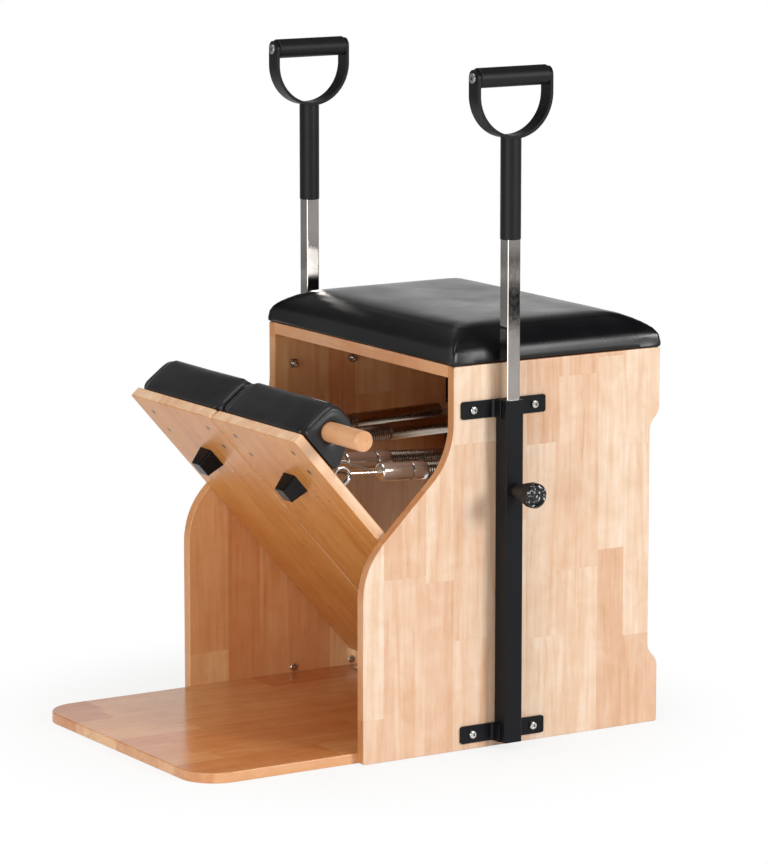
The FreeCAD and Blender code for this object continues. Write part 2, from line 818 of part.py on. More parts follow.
def biarc(start, start_way, end, end_way):
    """Two arcs that leave and arrive along the given directions."""
    chord = end - start
    ways = start_way + end_way
    square = 2 * (start_way.dot(end_way) - 1)
    linear = -2 * chord.dot(ways)
    constant = chord.dot(chord)
    reach = (-linear - math.sqrt(linear * linear - 4 * square * constant)) / (2 * square)
    corners = (start + start_way * reach, end - end_way * reach)
    joint = (corners[0] + corners[1]) / 2
    arcs = []
    for first, corner, last in ((start, corners[0], joint), (joint, corners[1], end)):
        middle = (first + last) / 2
        half_chord = (last - first).Length / 2
        rise = (corner - middle).Length
        sagitta = half_chord * math.tan(math.atan2(rise, half_chord) / 2)
        arcs.append(Part.Arc(first, middle + (corner - middle) * (sagitta / rise), last).toShape())
    return arcs


def spring_coil(rung):
    """The coil between the two caps: one unbroken tube on biarcs of half a turn."""
    radius = cap_radius - coil_wire_radius
    lead = 2 * coil_wire_radius
    low = rear_cap_start + rear_cap_length
    high = front_spots(rung)[2] - coil_gap
    margin = coil_wire_radius + coil_gap
    span = high - low - 2 * margin
    slope = span / (2 * math.pi * coil_turns)

    def spot(angle):
        return V(radius * math.cos(angle), radius * math.sin(angle), low + margin + slope * angle)

    def way(angle):
        return V(-radius * math.sin(angle), radius * math.cos(angle), slope).normalize()

    edges = []
    steps = 2 * coil_turns
    for step in range(steps):
        first, last = step * math.pi, (step + 1) * math.pi
        edges += biarc(spot(first), way(first), spot(last), way(last))
    head, tail = spot(0), spot(steps * math.pi)
    start, end = head - ALONG * lead, tail + ALONG * lead
    path = Part.Wire([Part.makeLine(start, head)] + edges + [Part.makeLine(tail, end)])
    ring = Part.Wire(Part.makeCircle(coil_wire_radius, start, ALONG))
    return path.makePipeShell([ring], True, False), path


def self_gap(path):
    """Smallest free gap between neighbouring curls, measured on points of the centre line."""
    points = path.discretize(coil_turns * points_per_curl)
    nearest, farthest = points_per_curl // 2, 3 * points_per_curl // 2
    gap = min((here - there).Length for index, here in enumerate(points)
              for there in points[index + nearest:index + farthest])
    return gap - 2 * coil_wire_radius


def build_frame(nodes):
    """The fixed woodwork and the posts."""
    right_rack_screws = rack_screws()
    both_rack_screws = right_rack_screws + [mirrored(screw) for screw in right_rack_screws]
    rear = back_board()
    for screw in both_rack_screws:
        rear = rear.cut(screw)
    nodes["seat_board"] = seat_board()
    nodes["base_board"] = base_board()
    nodes["back_board"] = rear
    nodes["seat_cushion"] = seat_cushion()
    nodes["rack_screws"] = Part.makeCompound(both_rack_screws)
    rack = spring_rack()
    for screw in right_rack_screws:
        rack = rack.cut(screw)
    pairs = {"side_panel": side_panel(), "post_sleeve": post_sleeve(), "bracket_bolts": bracket_bolts(),
             "bracket_nuts": bracket_nuts(), "sleeve_bush": sleeve_bush(), "spring_rack": rack,
             "upper_bracket": bracket(sleeve_top - bracket_height), "lower_bracket": bracket(sleeve_bottom),
             "hinge_base_leaf": hinge_base_leaf(), "hinge_pin": hinge_pin()}
    add_pairs(nodes, pairs)


def build_handles(nodes):
    """The sliding handles and the clamp knobs."""
    add_pairs(nodes, {"handle_tube": handle_tube(), "tube_grip": tube_grip(), "handle_bow": handle_bow(),
                      "bar_grip": bar_grip(), "bar_axle": bar_axle(), "clamp_knob": clamp_knob()})


def build_pedals(nodes):
    """Both pedals with what is fixed to them, and the dowel."""
    starts = screw_starts()
    screws = [pedal_screw(start) for start in starts]
    crossed = [screw.cut(cross_recess(start)) for screw, start in zip(screws, starts)]
    eyes = spring_eyes()
    inner, outer = pedal_sides()
    right_pad = pedal_pad(inner - overrun, outer + overrun)
    left_pad = pedal_pad(inner - overrun, inner + pedal_width / 2)
    for screw in screws:
        right_pad = right_pad.cut(screw)
        left_pad = left_pad.cut(screw)
    level = {"pedal_board": pedal_board(screws + eyes), "pedal_bumper": pedal_bumper(),
             "hinge_pedal_leaf": hinge_pedal_leaf(), "pedal_screws": Part.makeCompound(crossed),
             "spring_eyes": Part.makeCompound(eyes)}
    add_pairs(nodes, {name: set_at_rest(shape) for name, shape in level.items()})
    nodes["right_pedal_pad"] = set_at_rest(right_pad)
    nodes["left_pedal_pad"] = mirrored(set_at_rest(left_pad))
    nodes["connecting_dowel"] = set_at_rest(connecting_dowel())


def build_springs(nodes):
    """Two springs to each pedal, the left pair one rung higher."""
    for side, sign, rung in (("left", -1, left_rung), ("right", 1, right_rung)):
        coil, path = spring_coil(rung)
        print(side, "spring curls", coil_turns, "smallest gap", round(self_gap(path), 2))
        half = spring_spread / 2
        places = {"outer": sign * (pedal_middle + half), "inner": sign * (pedal_middle - half)}
        for place, x in places.items():
            nodes[side + "_" + place + "_spring"] = set_spring(coil.copy(), x, rung)
        xs = list(places.values())
        nodes[side + "_rear_hooks"] = Part.makeCompound([set_spring(rear_hook(), x, rung) for x in xs])
        hooks = [set_spring(front_hook(rung), x, rung) for x in xs]
        tie = set_spring(front_tie(rung), sign * pedal_middle, rung)
        nodes[side + "_front_hooks"] = fuse_all(hooks + [tie])


def add_pairs(nodes, pairs):
    """Keep each right-hand piece and its mirrored left-hand twin."""
    for name, shape in pairs.items():
        nodes["right_" + name] = shape
        nodes["left_" + name] = mirrored(shape)


def main():
    """Build every node and write it, with the origin under the middle of the whole chair."""
    nodes = {}
    build_frame(nodes)
    build_handles(nodes)
    build_pedals(nodes)
    build_springs(nodes)
    os.makedirs("parts", exist_ok=True)
    middle = (panel_depth - platform_reach) / 2
    for name, shape in nodes.items():
        shape.translate(V(0, -middle, 0))
        shape.exportStep("parts/" + name + ".step")
    print(len(nodes), "nodes")


main()
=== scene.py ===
import json
import math

import bmesh
import bpy
import numpy as np
from bpy.props import FloatProperty, FloatVectorProperty, IntProperty, PointerProperty
from bpy.types import Operator, Panel, PropertyGroup
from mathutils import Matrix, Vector


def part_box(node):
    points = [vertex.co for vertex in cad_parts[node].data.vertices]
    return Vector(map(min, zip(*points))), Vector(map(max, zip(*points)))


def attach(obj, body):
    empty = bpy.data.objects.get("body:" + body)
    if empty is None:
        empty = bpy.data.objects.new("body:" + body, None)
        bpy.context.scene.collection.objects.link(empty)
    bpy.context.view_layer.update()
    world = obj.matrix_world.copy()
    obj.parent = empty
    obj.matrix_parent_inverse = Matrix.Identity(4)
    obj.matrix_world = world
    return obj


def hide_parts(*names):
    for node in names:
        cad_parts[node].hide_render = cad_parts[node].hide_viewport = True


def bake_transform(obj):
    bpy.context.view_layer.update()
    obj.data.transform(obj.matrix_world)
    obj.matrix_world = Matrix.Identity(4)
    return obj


bl_info = {
    "name": "Pilates Chair",
    "version": (1, 0, 0),
    "blender": (4, 5, 0),
    "location": "View3D > Sidebar > Pilates Chair",
    "description": "Upholsters, springs, finishes and stages the packed pilates chair",
    "category": "Object",
}

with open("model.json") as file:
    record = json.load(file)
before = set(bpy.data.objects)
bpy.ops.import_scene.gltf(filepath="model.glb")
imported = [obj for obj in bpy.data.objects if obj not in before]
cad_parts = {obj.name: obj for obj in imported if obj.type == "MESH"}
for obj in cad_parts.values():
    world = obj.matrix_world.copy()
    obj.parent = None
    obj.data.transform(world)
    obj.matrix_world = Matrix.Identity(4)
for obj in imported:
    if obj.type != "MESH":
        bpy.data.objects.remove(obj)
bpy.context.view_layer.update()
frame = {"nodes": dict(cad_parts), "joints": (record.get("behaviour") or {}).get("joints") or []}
JOINTS = {joint["name"]: joint for joint in frame["joints"]}
SIDES = (("left", -1.0), ("right", 1.0))

# The pedal as it was drawn level: lengths from its pivot and its board's middle plane.
PEDAL_ANGLE = math.radians(48.6)
PEDAL_LENGTH = 0.608
PEDAL_BOARD = 0.017

# Wood: waves of grain to the metre across, along and through a board, a stave edge's wander, a number that
# keeps staves positive, and where a face begins, from the board's middle plane.
GRAIN_WAVES = (150.0, 9.0, 110.0)
WANDER = 0.008
WANDER_RATE = 41.0
FIRST_STAVE = 40.37
FACE_RISE = (0.0066, 0.0082)

# A pad: where its end faces lie, its seam as (distance from the soft edge, share of its depth), rows along
# its main panel and its bore, and where the bore's wall begins.
END_FACE = 0.0012
SEAM_STEPS = ((0.0012, 1.0), (0.0020, 1.0), (0.0034, 0.0))
PANEL_ROWS = 56
BORE_ROWS = 12
BORE_INSET = 0.006

# Hinge leaves' thickness, and their screws: across as shares of half a leaf, and along from the pivot.
HINGE_LEAF = 0.003
SCREWS_ACROSS = (-0.62, 0.0, 0.62)
FLOOR_SCREWS = (-0.022, 0.022)
PEDAL_SCREWS = (0.040, 0.068)


def length(name, default, words):
    """A size that a user may change, in metres."""
    return FloatProperty(name=name, description=words, default=default, unit="LENGTH", precision=4)


def share(name, default, words):
    """A share from 0 to 1."""
    return FloatProperty(name=name, description=words, default=default, min=0.0, max=1.0, subtype="FACTOR")


def colour(name, default):
    """A linear colour of what the name says."""
    return FloatVectorProperty(name=name, description="Colour of the " + name.lower(), default=default,
                               size=3, min=0.0, max=1.0, subtype="COLOR")


def whole(name, default, words):
    """A whole number."""
    return IntProperty(name=name, description=words, default=default)


def degrees(name, default, words):
    """An angle, given in degrees."""
    return FloatProperty(name=name, description=words, default=math.radians(default), subtype="ANGLE")


def watts(name, default):
    """A lamp's power."""
    return FloatProperty(name=name, description="Power of the " + name.lower(), default=default, unit="POWER")


class WoodSettings(PropertyGroup):
    """Laminated boards: tones of their blocks, and a tint on each board, which on the left panel, back board,
    floor board and pedals is darker, as painted shade.
    """
    stave_width: length("Stave width", 0.060, "Width of one glued stave")
    block_length: length("Block length", 0.29, "Length of one block in a stave")
    pale: colour("Palest blocks", (0.885, 0.735, 0.595))
    peach: colour("Common blocks", (0.85, 0.665, 0.515))
    warm: colour("Warmer blocks", (0.82, 0.605, 0.45))
    tan: colour("Darkest blocks", (0.765, 0.52, 0.365))
    outer: colour("Right panel", (0.97, 0.96, 0.95))
    outer_edge: colour("Right panel's edges", (0.74, 0.46, 0.265))
    # Warmer and darker than the right panel on both faces: painted shade for the shade inside the frame.
    inner: colour("Left panel", (1.0, 0.76, 0.48))
    seat: colour("Seat board", (0.92, 0.63, 0.43))
    # Dark brown on both faces: painted shade for the shaded inside of the frame.
    back: colour("Back board", (0.46, 0.29, 0.17))
    inner_edge: colour("Left panel's edges", (0.87, 0.57, 0.32))
    # Darker and more saturated than its edges: painted shade for the shade that falls on it inside the frame.
    floor: colour("Floor board", (0.67, 0.355, 0.115))
    floor_edge: colour("Floor board's edges", (0.93, 0.74, 0.53))
    # Darker and more saturated than their edges: painted shade on the pedal boards' faces.
    pedal: colour("Pedal boards", (0.765, 0.465, 0.17))
    pedal_edge: colour("Pedal boards' edges", (1.0, 0.92, 0.82))
    dowel: colour("Dowel", (0.84, 0.62, 0.43))
    gloss: share("Lacquer roughness", 0.30, "Roughness of the lacquer")


class LeatherSettings(PropertyGroup):
    """Black upholstery."""
    black: colour("Seat leather", (0.0040, 0.0042, 0.0050))
    gloss: share("Seat roughness", 0.29, "Roughness of the seat's leather")
    # The seat's black leather made lighter: painted sheen for the pads' brighter matt sheen.
    pad: colour("Pad leather", (0.0140, 0.0142, 0.0158))
    pad_gloss: share("Pad roughness", 0.35, "Roughness of the pads' leather")
    grain: length("Grain size", 0.0012, "Width of one pebble of the grain")


class HardwareSettings(PropertyGroup):
    """Metal, plastic and rubber."""
    coat: colour("Powder coat", (0.0046, 0.0050, 0.0066))
    chrome: colour("Chrome", (0.64, 0.60, 0.56))
    zinc: colour("Bolts and hinges", (0.66, 0.65, 0.62))
    # Chrome caps tinted pale cream and made partly matt: the cream is painted reflection of the pale floor.
    cap: colour("Spring caps", (0.95, 0.90, 0.83))
    # Dark steel tinted brown: the brown is painted reflection of the wood round the springs.
    coil: colour("Spring wire", (0.40, 0.35, 0.29))
    bronze: colour("Pedal screws", (0.33, 0.22, 0.13))
    grip: colour("Grips", (0.0055, 0.0057, 0.0062))
    knob: colour("Knobs", (0.004, 0.004, 0.004))
    # Pale painted glints on the knobs' faces, standing in for their broken highlights.
    glint: colour("Knob flecks", (0.55, 0.55, 0.55))
    screw_radius: length("Hinge screw radius", 0.0042, "Radius of a hinge screw's head")
    screw_height: length("Hinge screw height", 0.0017, "Height of a hinge screw's head")


class CushionSettings(PropertyGroup):
    """The seat cushion."""
    band: length("Side band", 0.0150, "Height of the upright side")
    shoulder: length("Shoulder", 0.0355, "Rise from the side band to the top")
    dome: length("Dome", 0.0008, "Slow rise of the top towards the middle")
    roll: length("Roll", 0.100, "How far in the shoulder reaches")
    corner: length("Corner radius", 0.003, "Radius of the corners seen from above")
    ear: length("Ear", 0.003, "How far a corner stands out")
    swell: length("Swell", 0.003, "Most that the filling moves the leather")
    voxel: length("Cloth cell", 0.004, "Cell of the cloth mesh")
    fill: share("Fill", 0.85, "How tightly the cushion is filled")


class PadSettings(PropertyGroup):
    """The pads on the pedals."""
    depth: length("Depth", 0.086, "Size along the pedal")
    height: length("Height", 0.072, "Size square to the pedal")
    end_depth: length("Soft end depth", 0.0065, "How far an end's soft edge draws in")
    end_width: length("Soft end width", 0.0105, "How far that edge reaches along the pad")
    seam: length("Seam", 0.0005, "Depth of the seam beside each end")
    soften: whole("Softening", 5, "Points to each side that round an end's corners")
    bulge: length("End bulge", 0.0010, "How far an end face swells")
    slack: length("Slack", 0.0006, "How far inside its finished skin a pad starts")
    swell: length("Swell", 0.0020, "Most that the filling moves the leather")
    bore: length("Bore radius", 0.0156, "Radius of the dowel's hole")
    bore_along: length("Bore place", 0.033, "The bore's distance from the free end")
    bore_rise: length("Bore height", 0.035, "The bore's height over the board")
    fill: share("Fill", 0.9, "How tightly a pad is filled")


class SpringSettings(PropertyGroup):
    """The close-wound springs."""
    radius: length("Coil radius", 0.0116, "Radius to the middle of the wire")
    wire: length("Wire radius", 0.0019, "Radius of the wire")
    gap: length("Gap", 0.0001, "Free gap between the turns at rest")
    rear_cap: length("Rear cap", 0.046, "Where the coil starts, from the rung")
    sleeve: length("Front sleeve", 0.024, "Length of the sleeve behind a front cap")
    wall: length("Sleeve wall", 0.0003, "Thickness of a sleeve")
    rear_sleeve: length("Rear sleeve", 0.154, "Length of the sleeve before a rear cap")
    ring: whole("Ring points", 9, "Points round the wire")
    steps: whole("Turn points", 26, "Points along one turn")


class StageSettings(PropertyGroup):
    """Camera, lamps and floor."""
    azimuth: degrees("Azimuth", 58.16, "Camera's angle round the chair")
    elevation: degrees("Elevation", 10.0, "Camera's angle over the floor")
    distance: length("Distance", 6.536, "From the camera to its target")
    target: FloatVectorProperty(name="Target", description="The point that the camera looks at",
                                default=(0.0237, 0.0557, 0.4367), subtype="TRANSLATION", unit="LENGTH")
    lens: FloatProperty(name="Lens", description="Focal length in millimetres", default=182.0)
    floor_radius: length("Floor radius", 2.4, "Radius of the round floor")
    floor: colour("Floor", (0.88, 0.88, 0.88))
    key_power: watts("Key lamp", 96.0)
    top_power: watts("Top lamp", 33.0)
    front_power: watts("Front lamp", 45.0)
    ambient: colour("Light from all sides", (0.325, 0.31, 0.29))


class ChairSettings(PropertyGroup):
    """All settings of the pilates chair."""
    wood: PointerProperty(type=WoodSettings)
    leather: PointerProperty(type=LeatherSettings)
    hardware: PointerProperty(type=HardwareSettings)
    cushion: PointerProperty(type=CushionSettings)
    pads: PointerProperty(type=PadSettings)
    springs: PointerProperty(type=SpringSettings)
    stage: PointerProperty(type=StageSettings)


def chair():
    """The settings on the scene."""
    return bpy.context.scene.pilates_chair


# Meshes

def angles(count):
    """Even angles once round."""
    return np.linspace(0.0, 2.0 * math.pi, count, endpoint=False)


def grid_faces(rows, columns, close_rows=False):
    """Quads of a grid whose columns close on themselves, and whose rows do if asked."""
    row, column = np.meshgrid(np.arange(rows if close_rows else rows - 1), np.arange(columns), indexing="ij")
    below, beside = (row + 1) % rows, (column + 1) % columns
    quads = np.stack([row * columns + column, row * columns + beside,
                      below * columns + beside, below * columns + column], axis=-1)
    return quads.reshape(-1, 4).tolist()


def tube_faces(rows, columns):
    """Quads of a tube of rings, with one face across each end."""
    last = (rows - 1) * columns
    ends = [list(range(columns))[::-1], list(range(last, last + columns))]
    return grid_faces(rows, columns) + ends


def add_object(name, data):
    """A new object at the origin of the scene."""
    made = bpy.data.objects.new(name, data)
    bpy.context.scene.collection.objects.link(made)
    return made


def make_piece(name, points, faces, finish):
    """A smooth mesh object from points and faces, with its normals turned outwards."""
    mesh = bpy.data.meshes.new(name)
    mesh.from_pydata(np.asarray(points, float).reshape(-1, 3).tolist(), [], faces)
    shape = bmesh.new()
    shape.from_mesh(mesh)
    bmesh.ops.recalc_face_normals(shape, faces=shape.faces)
    shape.to_mesh(mesh)
    shape.free()
    mesh.polygons.foreach_set("use_smooth", np.ones(len(mesh.polygons), bool))
    mesh.materials.append(finish)
    piece = add_object(name, mesh)
    return piece


def read_points(mesh):
    """A mesh's points as an array."""
    points = np.empty(len(mesh.vertices) * 3)
    mesh.vertices.foreach_get("co", points)
    return points.reshape(-1, 3)


def write_points(mesh, points):
    """Put an array back into a mesh's points."""
    mesh.vertices.foreach_set("co", np.asarray(points, float).ravel())
    mesh.update()


def evaluated_copy(piece):
    """A new mesh with the piece's modifiers worked in."""
    graph = bpy.context.evaluated_depsgraph_get()
    return bpy.data.meshes.new_from_object(piece.evaluated_get(graph))


def remesh(piece, voxel):
    """Replace the piece's mesh by an even one of small quads."""
    step = piece.modifiers.new("even", "REMESH")
    step.mode = "VOXEL"
    step.voxel_size = voxel
    even = evaluated_copy(piece)
    piece.modifiers.remove(step)
    piece.data = even
    even.polygons.foreach_set("use_smooth", np.ones(len(even.polygons), bool))


def even_out(values, mesh, rounds):
    """Each round a point takes half of its own value and half of its neighbours' mean."""
    pairs = np.empty(len(mesh.edges) * 2, int)
    mesh.edges.foreach_get("vertices", pairs)
    one, other = pairs.reshape(-1, 2).T
    count = np.maximum(np.bincount(pairs, minlength=len(values)), 1)[:, None]
    for _ in range(rounds):
        total = np.zeros_like(values)
        np.add.at(total, one, values[other])
        np.add.at(total, other, values[one])
        values = (values + total / count) / 2
    return values


def inflate(piece, held, most, pressure=4.0, frames=20, rounds=10):
    """Blow the piece up as cloth. Held points stay, and none moves further than most."""
    rest = read_points(piece.data)
    group = piece.vertex_groups.new(name="held")
    group.add(np.flatnonzero(held).tolist(), 1.0, "REPLACE")
    cloth = piece.modifiers.new("filling", "CLOTH")
    cloth.settings.use_pressure = True
    cloth.settings.uniform_pressure_force = pressure
    cloth.settings.vertex_group_mass = group.name
    cloth.settings.effector_weights.gravity = 0.0
    cloth.collision_settings.use_collision = False
    for step in range(1, frames + 1):
        bpy.context.scene.frame_set(step)
    swollen = evaluated_copy(piece)
    moved = read_points(swollen) - rest
    reach = np.linalg.norm(moved, axis=1, keepdims=True)
    moved *= np.minimum(1.0, most / np.maximum(reach, 1e-9))
    moved = even_out(moved, piece.data, rounds)
    moved[held] = 0.0
    piece.modifiers.remove(cloth)
    piece.vertex_groups.remove(group)
    bpy.data.meshes.remove(swollen)
    bpy.context.scene.frame_set(1)
    write_points(piece.data, rest + moved)


def subdivide(piece):
    """Smooth the piece with one live level of subdivision."""
    step = piece.modifiers.new("smooth", "SUBSURF")
    step.levels = 1
    step.render_levels = 1


def on_pedal(points):
    """Points of (across, along from the pivot, over the board's middle) turned to the pedal's rest place."""
    pivot = JOINTS["right_pedal_hinge"]["pos_m"]
    across, along, over = np.moveaxis(np.asarray(points, float), -1, 0)
    cosine, sine = math.cos(PEDAL_ANGLE), math.sin(PEDAL_ANGLE)
    return np.stack([across, pivot[1] + along * cosine + over * sine,
                     pivot[2] - along * sine + over * cosine], axis=-1)


# Materials

class Nodes:
    """A node tree in the making: short calls add nodes and join them."""

    def __init__(self, tree):
        self.tree = tree

    def feed(self, socket, value):
        """Join a socket to another one, or set its number."""
        if isinstance(value, bpy.types.NodeSocket):
            self.tree.links.new(value, socket)
        else:
            socket.default_value = value

    def node(self, kind, inputs=None, **options):
        """Add a node, set its options and feed its named or numbered inputs."""
        made = self.tree.nodes.new("ShaderNode" + kind)
        for name, value in options.items():
            setattr(made, name, value)
        for name, value in (inputs or {}).items():
            self.feed(made.inputs[name], value)
        return made

    def math(self, operation, first, second=0.0):
        """One sum."""
        return self.node("Math", {0: first, 1: second}, operation=operation).outputs[0]

    def spread(self, value, low, high, start=0.0, end=1.0):
        """A value from start to end brought to a range from low to high."""
        return self.node("MapRange", {0: value, 1: start, 2: end, 3: low, 4: high}).outputs[0]

    def climb(self, value, start, end):
        """0 up to start, 1 from end on, and a straight climb between them."""
        return self.spread(value, 0.0, 1.0, start, end)

    def ramp(self, value, stops):
        """Colours at places along a ramp."""
        made = self.node("ValToRGB", {"Fac": value})
        points = made.color_ramp.elements
        while len(points) < len(stops):
            points.new(1.0)
        for point, (place, tone) in zip(points, stops):
            point.position = place
            point.color = (*tone, 1.0)
        return made.outputs["Color"]

    def tint(self, base, value):
        """A colour multiplied by a grey value or another colour."""
        made = self.node("Mix", {0: 1.0, 6: base, 7: value}, data_type="RGBA", blend_type="MULTIPLY")
        return made.outputs[2]

    def seen(self):
        """1 where the camera sees it directly, in a mirror or through glass, and else 0."""
        path = self.node("LightPath").outputs
        mirrored = self.math("MAXIMUM", path["Is Glossy Ray"], path["Is Transmission Ray"])
        return self.math("MAXIMUM", path["Is Camera Ray"], mirrored)


class Finish(Nodes):
    """A material in the making, on its object's own coordinates."""

    def __init__(self, name):
        self.material = bpy.data.materials.new(name)
        self.material.use_nodes = True
        super().__init__(self.material.node_tree)
        self.shader = self.tree.nodes["Principled BSDF"]
        self.place = self.node("TexCoord").outputs["Object"]

    def noise(self, scale, detail=2.0, place=None, roughness=0.5, distortion=0.0):
        """Noise with a number of waves to the metre."""
        found = {"Vector": place or self.place, "Scale": scale, "Detail": detail,
                 "Roughness": roughness, "Distortion": distortion}
        return self.node("TexNoise", found).outputs["Fac"]

    def vary(self, noise, low, high):
        """Noise, mostly from 0.3 to 0.7, brought to a range from low to high."""
        return self.spread(noise, low, high, 0.3, 0.7)

    def bump(self, height, strength, depth):
        """Relief from a height, in metres at its full size."""
        made = self.node("Bump", {"Height": height, "Strength": strength, "Distance": depth})
        self.feed(self.shader.inputs["Normal"], made.outputs["Normal"])

    def set(self, **values):
        """Feed the shader's own sockets, named with _ for spaces."""
        for name, value in values.items():
            self.feed(self.shader.inputs[name.replace("_", " ")], value)


def shaded(tone, factor):
    """A colour made darker or lighter."""
    return tuple(factor * part for part in tone)


def greys(stops):
    """Ramp stops for grey values."""
    return [(place, (grey, grey, grey)) for place, grey in stops]


def board_finish(name, across, along, lacquer, seed=0.0, turn=0.0, single=False, middle=None, edges=None,
                 contrast=1.0, shine=0.0):
    """Lacquered wood of glued staves: each stave is cut into blocks of their own tone.
    across and along are the letters of the axes; turn levels a tilted board about X. A contrast over 1 sets
    the blocks further apart, and shine makes the lacquer smoother. A single piece is one large block. With
    its middle plane given, the board's cut edges have a tint of their own."""
    wood = chair().wood
    finish = Finish(name)
    place = finish.node("Mapping", {"Vector": finish.place, "Rotation": (turn, 0.0, 0.0)}).outputs[0]
    axes = finish.node("SeparateXYZ", {"Vector": place}).outputs
    through = ({"X", "Y", "Z"} - {across, along}).pop()
    wide, long, deep = axes[across], axes[along], axes[through]
    width, reach = (1.0, 4.0) if single else (wood.stave_width, wood.block_length)

    wander = finish.math("SINE", finish.math("MULTIPLY", wide, WANDER_RATE))
    warped = finish.math("ADD", wide, finish.math("MULTIPLY", wander, WANDER))
    stave = finish.math("ADD", finish.math("DIVIDE", warped, width), FIRST_STAVE + seed)
    row = finish.math("FLOOR", stave)
    slide = finish.node("TexWhiteNoise", {"W": row}, noise_dimensions="1D").outputs["Value"]
    block = finish.math("ADD", finish.math("DIVIDE", long, reach), finish.math("MULTIPLY", slide, 9.0))
    cell = finish.node("CombineXYZ", {"X": row, "Y": finish.math("FLOOR", block), "Z": seed}).outputs[0]
    chance = finish.node("TexWhiteNoise", {"Vector": cell}, noise_dimensions="3D").outputs
    tones = ((0.0, wood.pale), (0.25, wood.pale), (0.5, wood.peach), (0.78, wood.warm), (1.0, wood.tan))
    tone = finish.ramp(chance["Value"], [(spot, tuple(value)) for spot, value in tones])
    tone = finish.node("Mix", {0: contrast, 6: (*wood.peach, 1.0), 7: tone}, data_type="RGBA",
                       clamp_factor=False).outputs[2]
    # lacquer tints the board, or only its faces when a middle plane is given; on the left panel, back board,
    # floor board and pedals it is darker, as painted shade.
    if middle is None:
        tone = finish.tint(tone, (*lacquer, 1.0))
    else:
        off = finish.math("ABSOLUTE", finish.math("SUBTRACT", deep, middle))
        face = finish.climb(off, *FACE_RISE)
        tone = finish.tint(tone, finish.ramp(face, [(0.0, tuple(edges)), (1.0, tuple(lacquer))]))

    # Every block's grain is cut from another place.
    waves = {axis: finish.math("MULTIPLY", way, rate)
             for axis, way, rate in zip("XYZ", (wide, long, deep), GRAIN_WAVES)}
    grain = finish.node("CombineXYZ", waves).outputs[0]
    own = {0: chance["Color"], 1: (60.0, 60.0, 60.0)}
    own = finish.node("VectorMath", own, operation="MULTIPLY").outputs[0]
    grain = finish.node("VectorMath", {0: grain, 1: own}, operation="ADD").outputs[0]
    streaks = finish.noise(1.0, 5.0, grain, 0.62, 0.4)
    figure = finish.noise(0.22, 2.0, grain, 0.5, 1.6)
    pores = finish.noise(3.6, 2.0, grain, 0.7)
    mottle = finish.noise(26.0, 3.0, place, 0.55, 0.6)

    # Each pattern has its full shade up to low and none from high on.
    for pattern, low, high, shade in ((streaks, 0.28, 0.62, (0.935, 0.85, 0.775)),
                                      (figure, 0.30, 0.60, (0.905, 0.795, 0.70)),
                                      (mottle, 0.32, 0.64, (0.94, 0.87, 0.81)),
                                      (pores, 0.24, 0.34, (0.95, 0.90, 0.85))):
        clear = finish.climb(pattern, low, high)
        tone = finish.tint(tone, finish.ramp(clear, [(0.0, shade), (1.0, (1.0, 1.0, 1.0))]))
    if not single:
        edge = finish.math("PINGPONG", finish.math("FRACT", stave), 0.5)
        butt = finish.math("PINGPONG", finish.math("FRACT", block), 0.5)
        seam = finish.math("MINIMUM", edge, finish.math("MULTIPLY", butt, reach / width))
        tone = finish.tint(tone, finish.spread(seam, 0.94, 1.0, 0.002, 0.009))
    rough = wood.gloss - shine
    finish.set(Base_Color=tone, IOR=1.48, Roughness=finish.vary(streaks, rough - 0.05, rough + 0.10))
    finish.bump(finish.math("ADD", streaks, pores), 0.10, 0.0004)
    return finish.material


def leather_finish(name, black, gloss):
    """Black leather: a pebbled grain over soft unevenness, with a satin sheen that varies."""
    finish = Finish(name)
    pebble = {"Vector": finish.place, "Scale": 1.0 / chair().leather.grain, "Smoothness": 0.4}
    pebbles = finish.node("TexVoronoi", pebble, feature="SMOOTH_F1").outputs["Distance"]
    soft = finish.noise(34.0, 3.0)
    worn = finish.noise(9.0, 4.0)
    dark = finish.ramp(finish.vary(soft, 0.0, 1.0), [(0.0, tuple(black)), (1.0, shaded(black, 1.5))])
    finish.set(Base_Color=finish.tint(dark, finish.vary(worn, 0.8, 1.25)), IOR=1.41,
               Roughness=finish.vary(worn, gloss - 0.05, gloss + 0.07))
    height = finish.math("ADD", finish.math("MULTIPLY", pebbles, 0.25), soft)
    finish.bump(height, 0.08, 0.0006)
    return finish.material


def coated_finish():
    """Satin powder coat: a fine even ripple over black."""
    finish = Finish("black powder coat")
    ripple = finish.noise(900.0, 3.0)
    cloud = finish.noise(14.0, 3.0)
    coat = tuple(chair().hardware.coat)
    finish.set(Base_Color=finish.ramp(cloud, [(0.3, coat), (0.7, shaded(coat, 1.25))]),
               Roughness=finish.vary(ripple, 0.36, 0.50), Specular_IOR_Level=0.17)
    finish.bump(ripple, 0.12, 0.0002)
    return finish.material


def metal_finish(name, shade, rough, scale, bare=1.0):
    """Metal with fine scratches and a little unevenness of its shine.
    Less bare metal is more like a pale plating."""
    finish = Finish(name)
    scratch = finish.noise(scale, 4.0)
    cloud = finish.noise(22.0, 2.0)
    tone = finish.ramp(cloud, [(0.25, shaded(shade, 0.86)), (0.75, tuple(shade))])
    finish.set(Base_Color=tone, Metallic=bare, Roughness=finish.vary(scratch, rough * 0.75, rough * 1.35))
    finish.bump(scratch, 0.03, 0.0001)
    return finish.material


def rubber_finish(name, shade, rough, scale, relief):
    """Matt rubber or plastic with a fine moulded texture."""
    finish = Finish(name)
    skin = finish.noise(scale, 4.0)
    cloud = finish.noise(18.0, 3.0)
    tone = finish.ramp(cloud, [(0.3, shaded(shade, 0.85)), (0.7, shaded(shade, 1.2))])
    finish.set(Base_Color=tone, Roughness=finish.vary(skin, rough - 0.06, rough + 0.08),
               Specular_IOR_Level=0.26)
    finish.bump(skin, relief, 0.0003)
    return finish.material


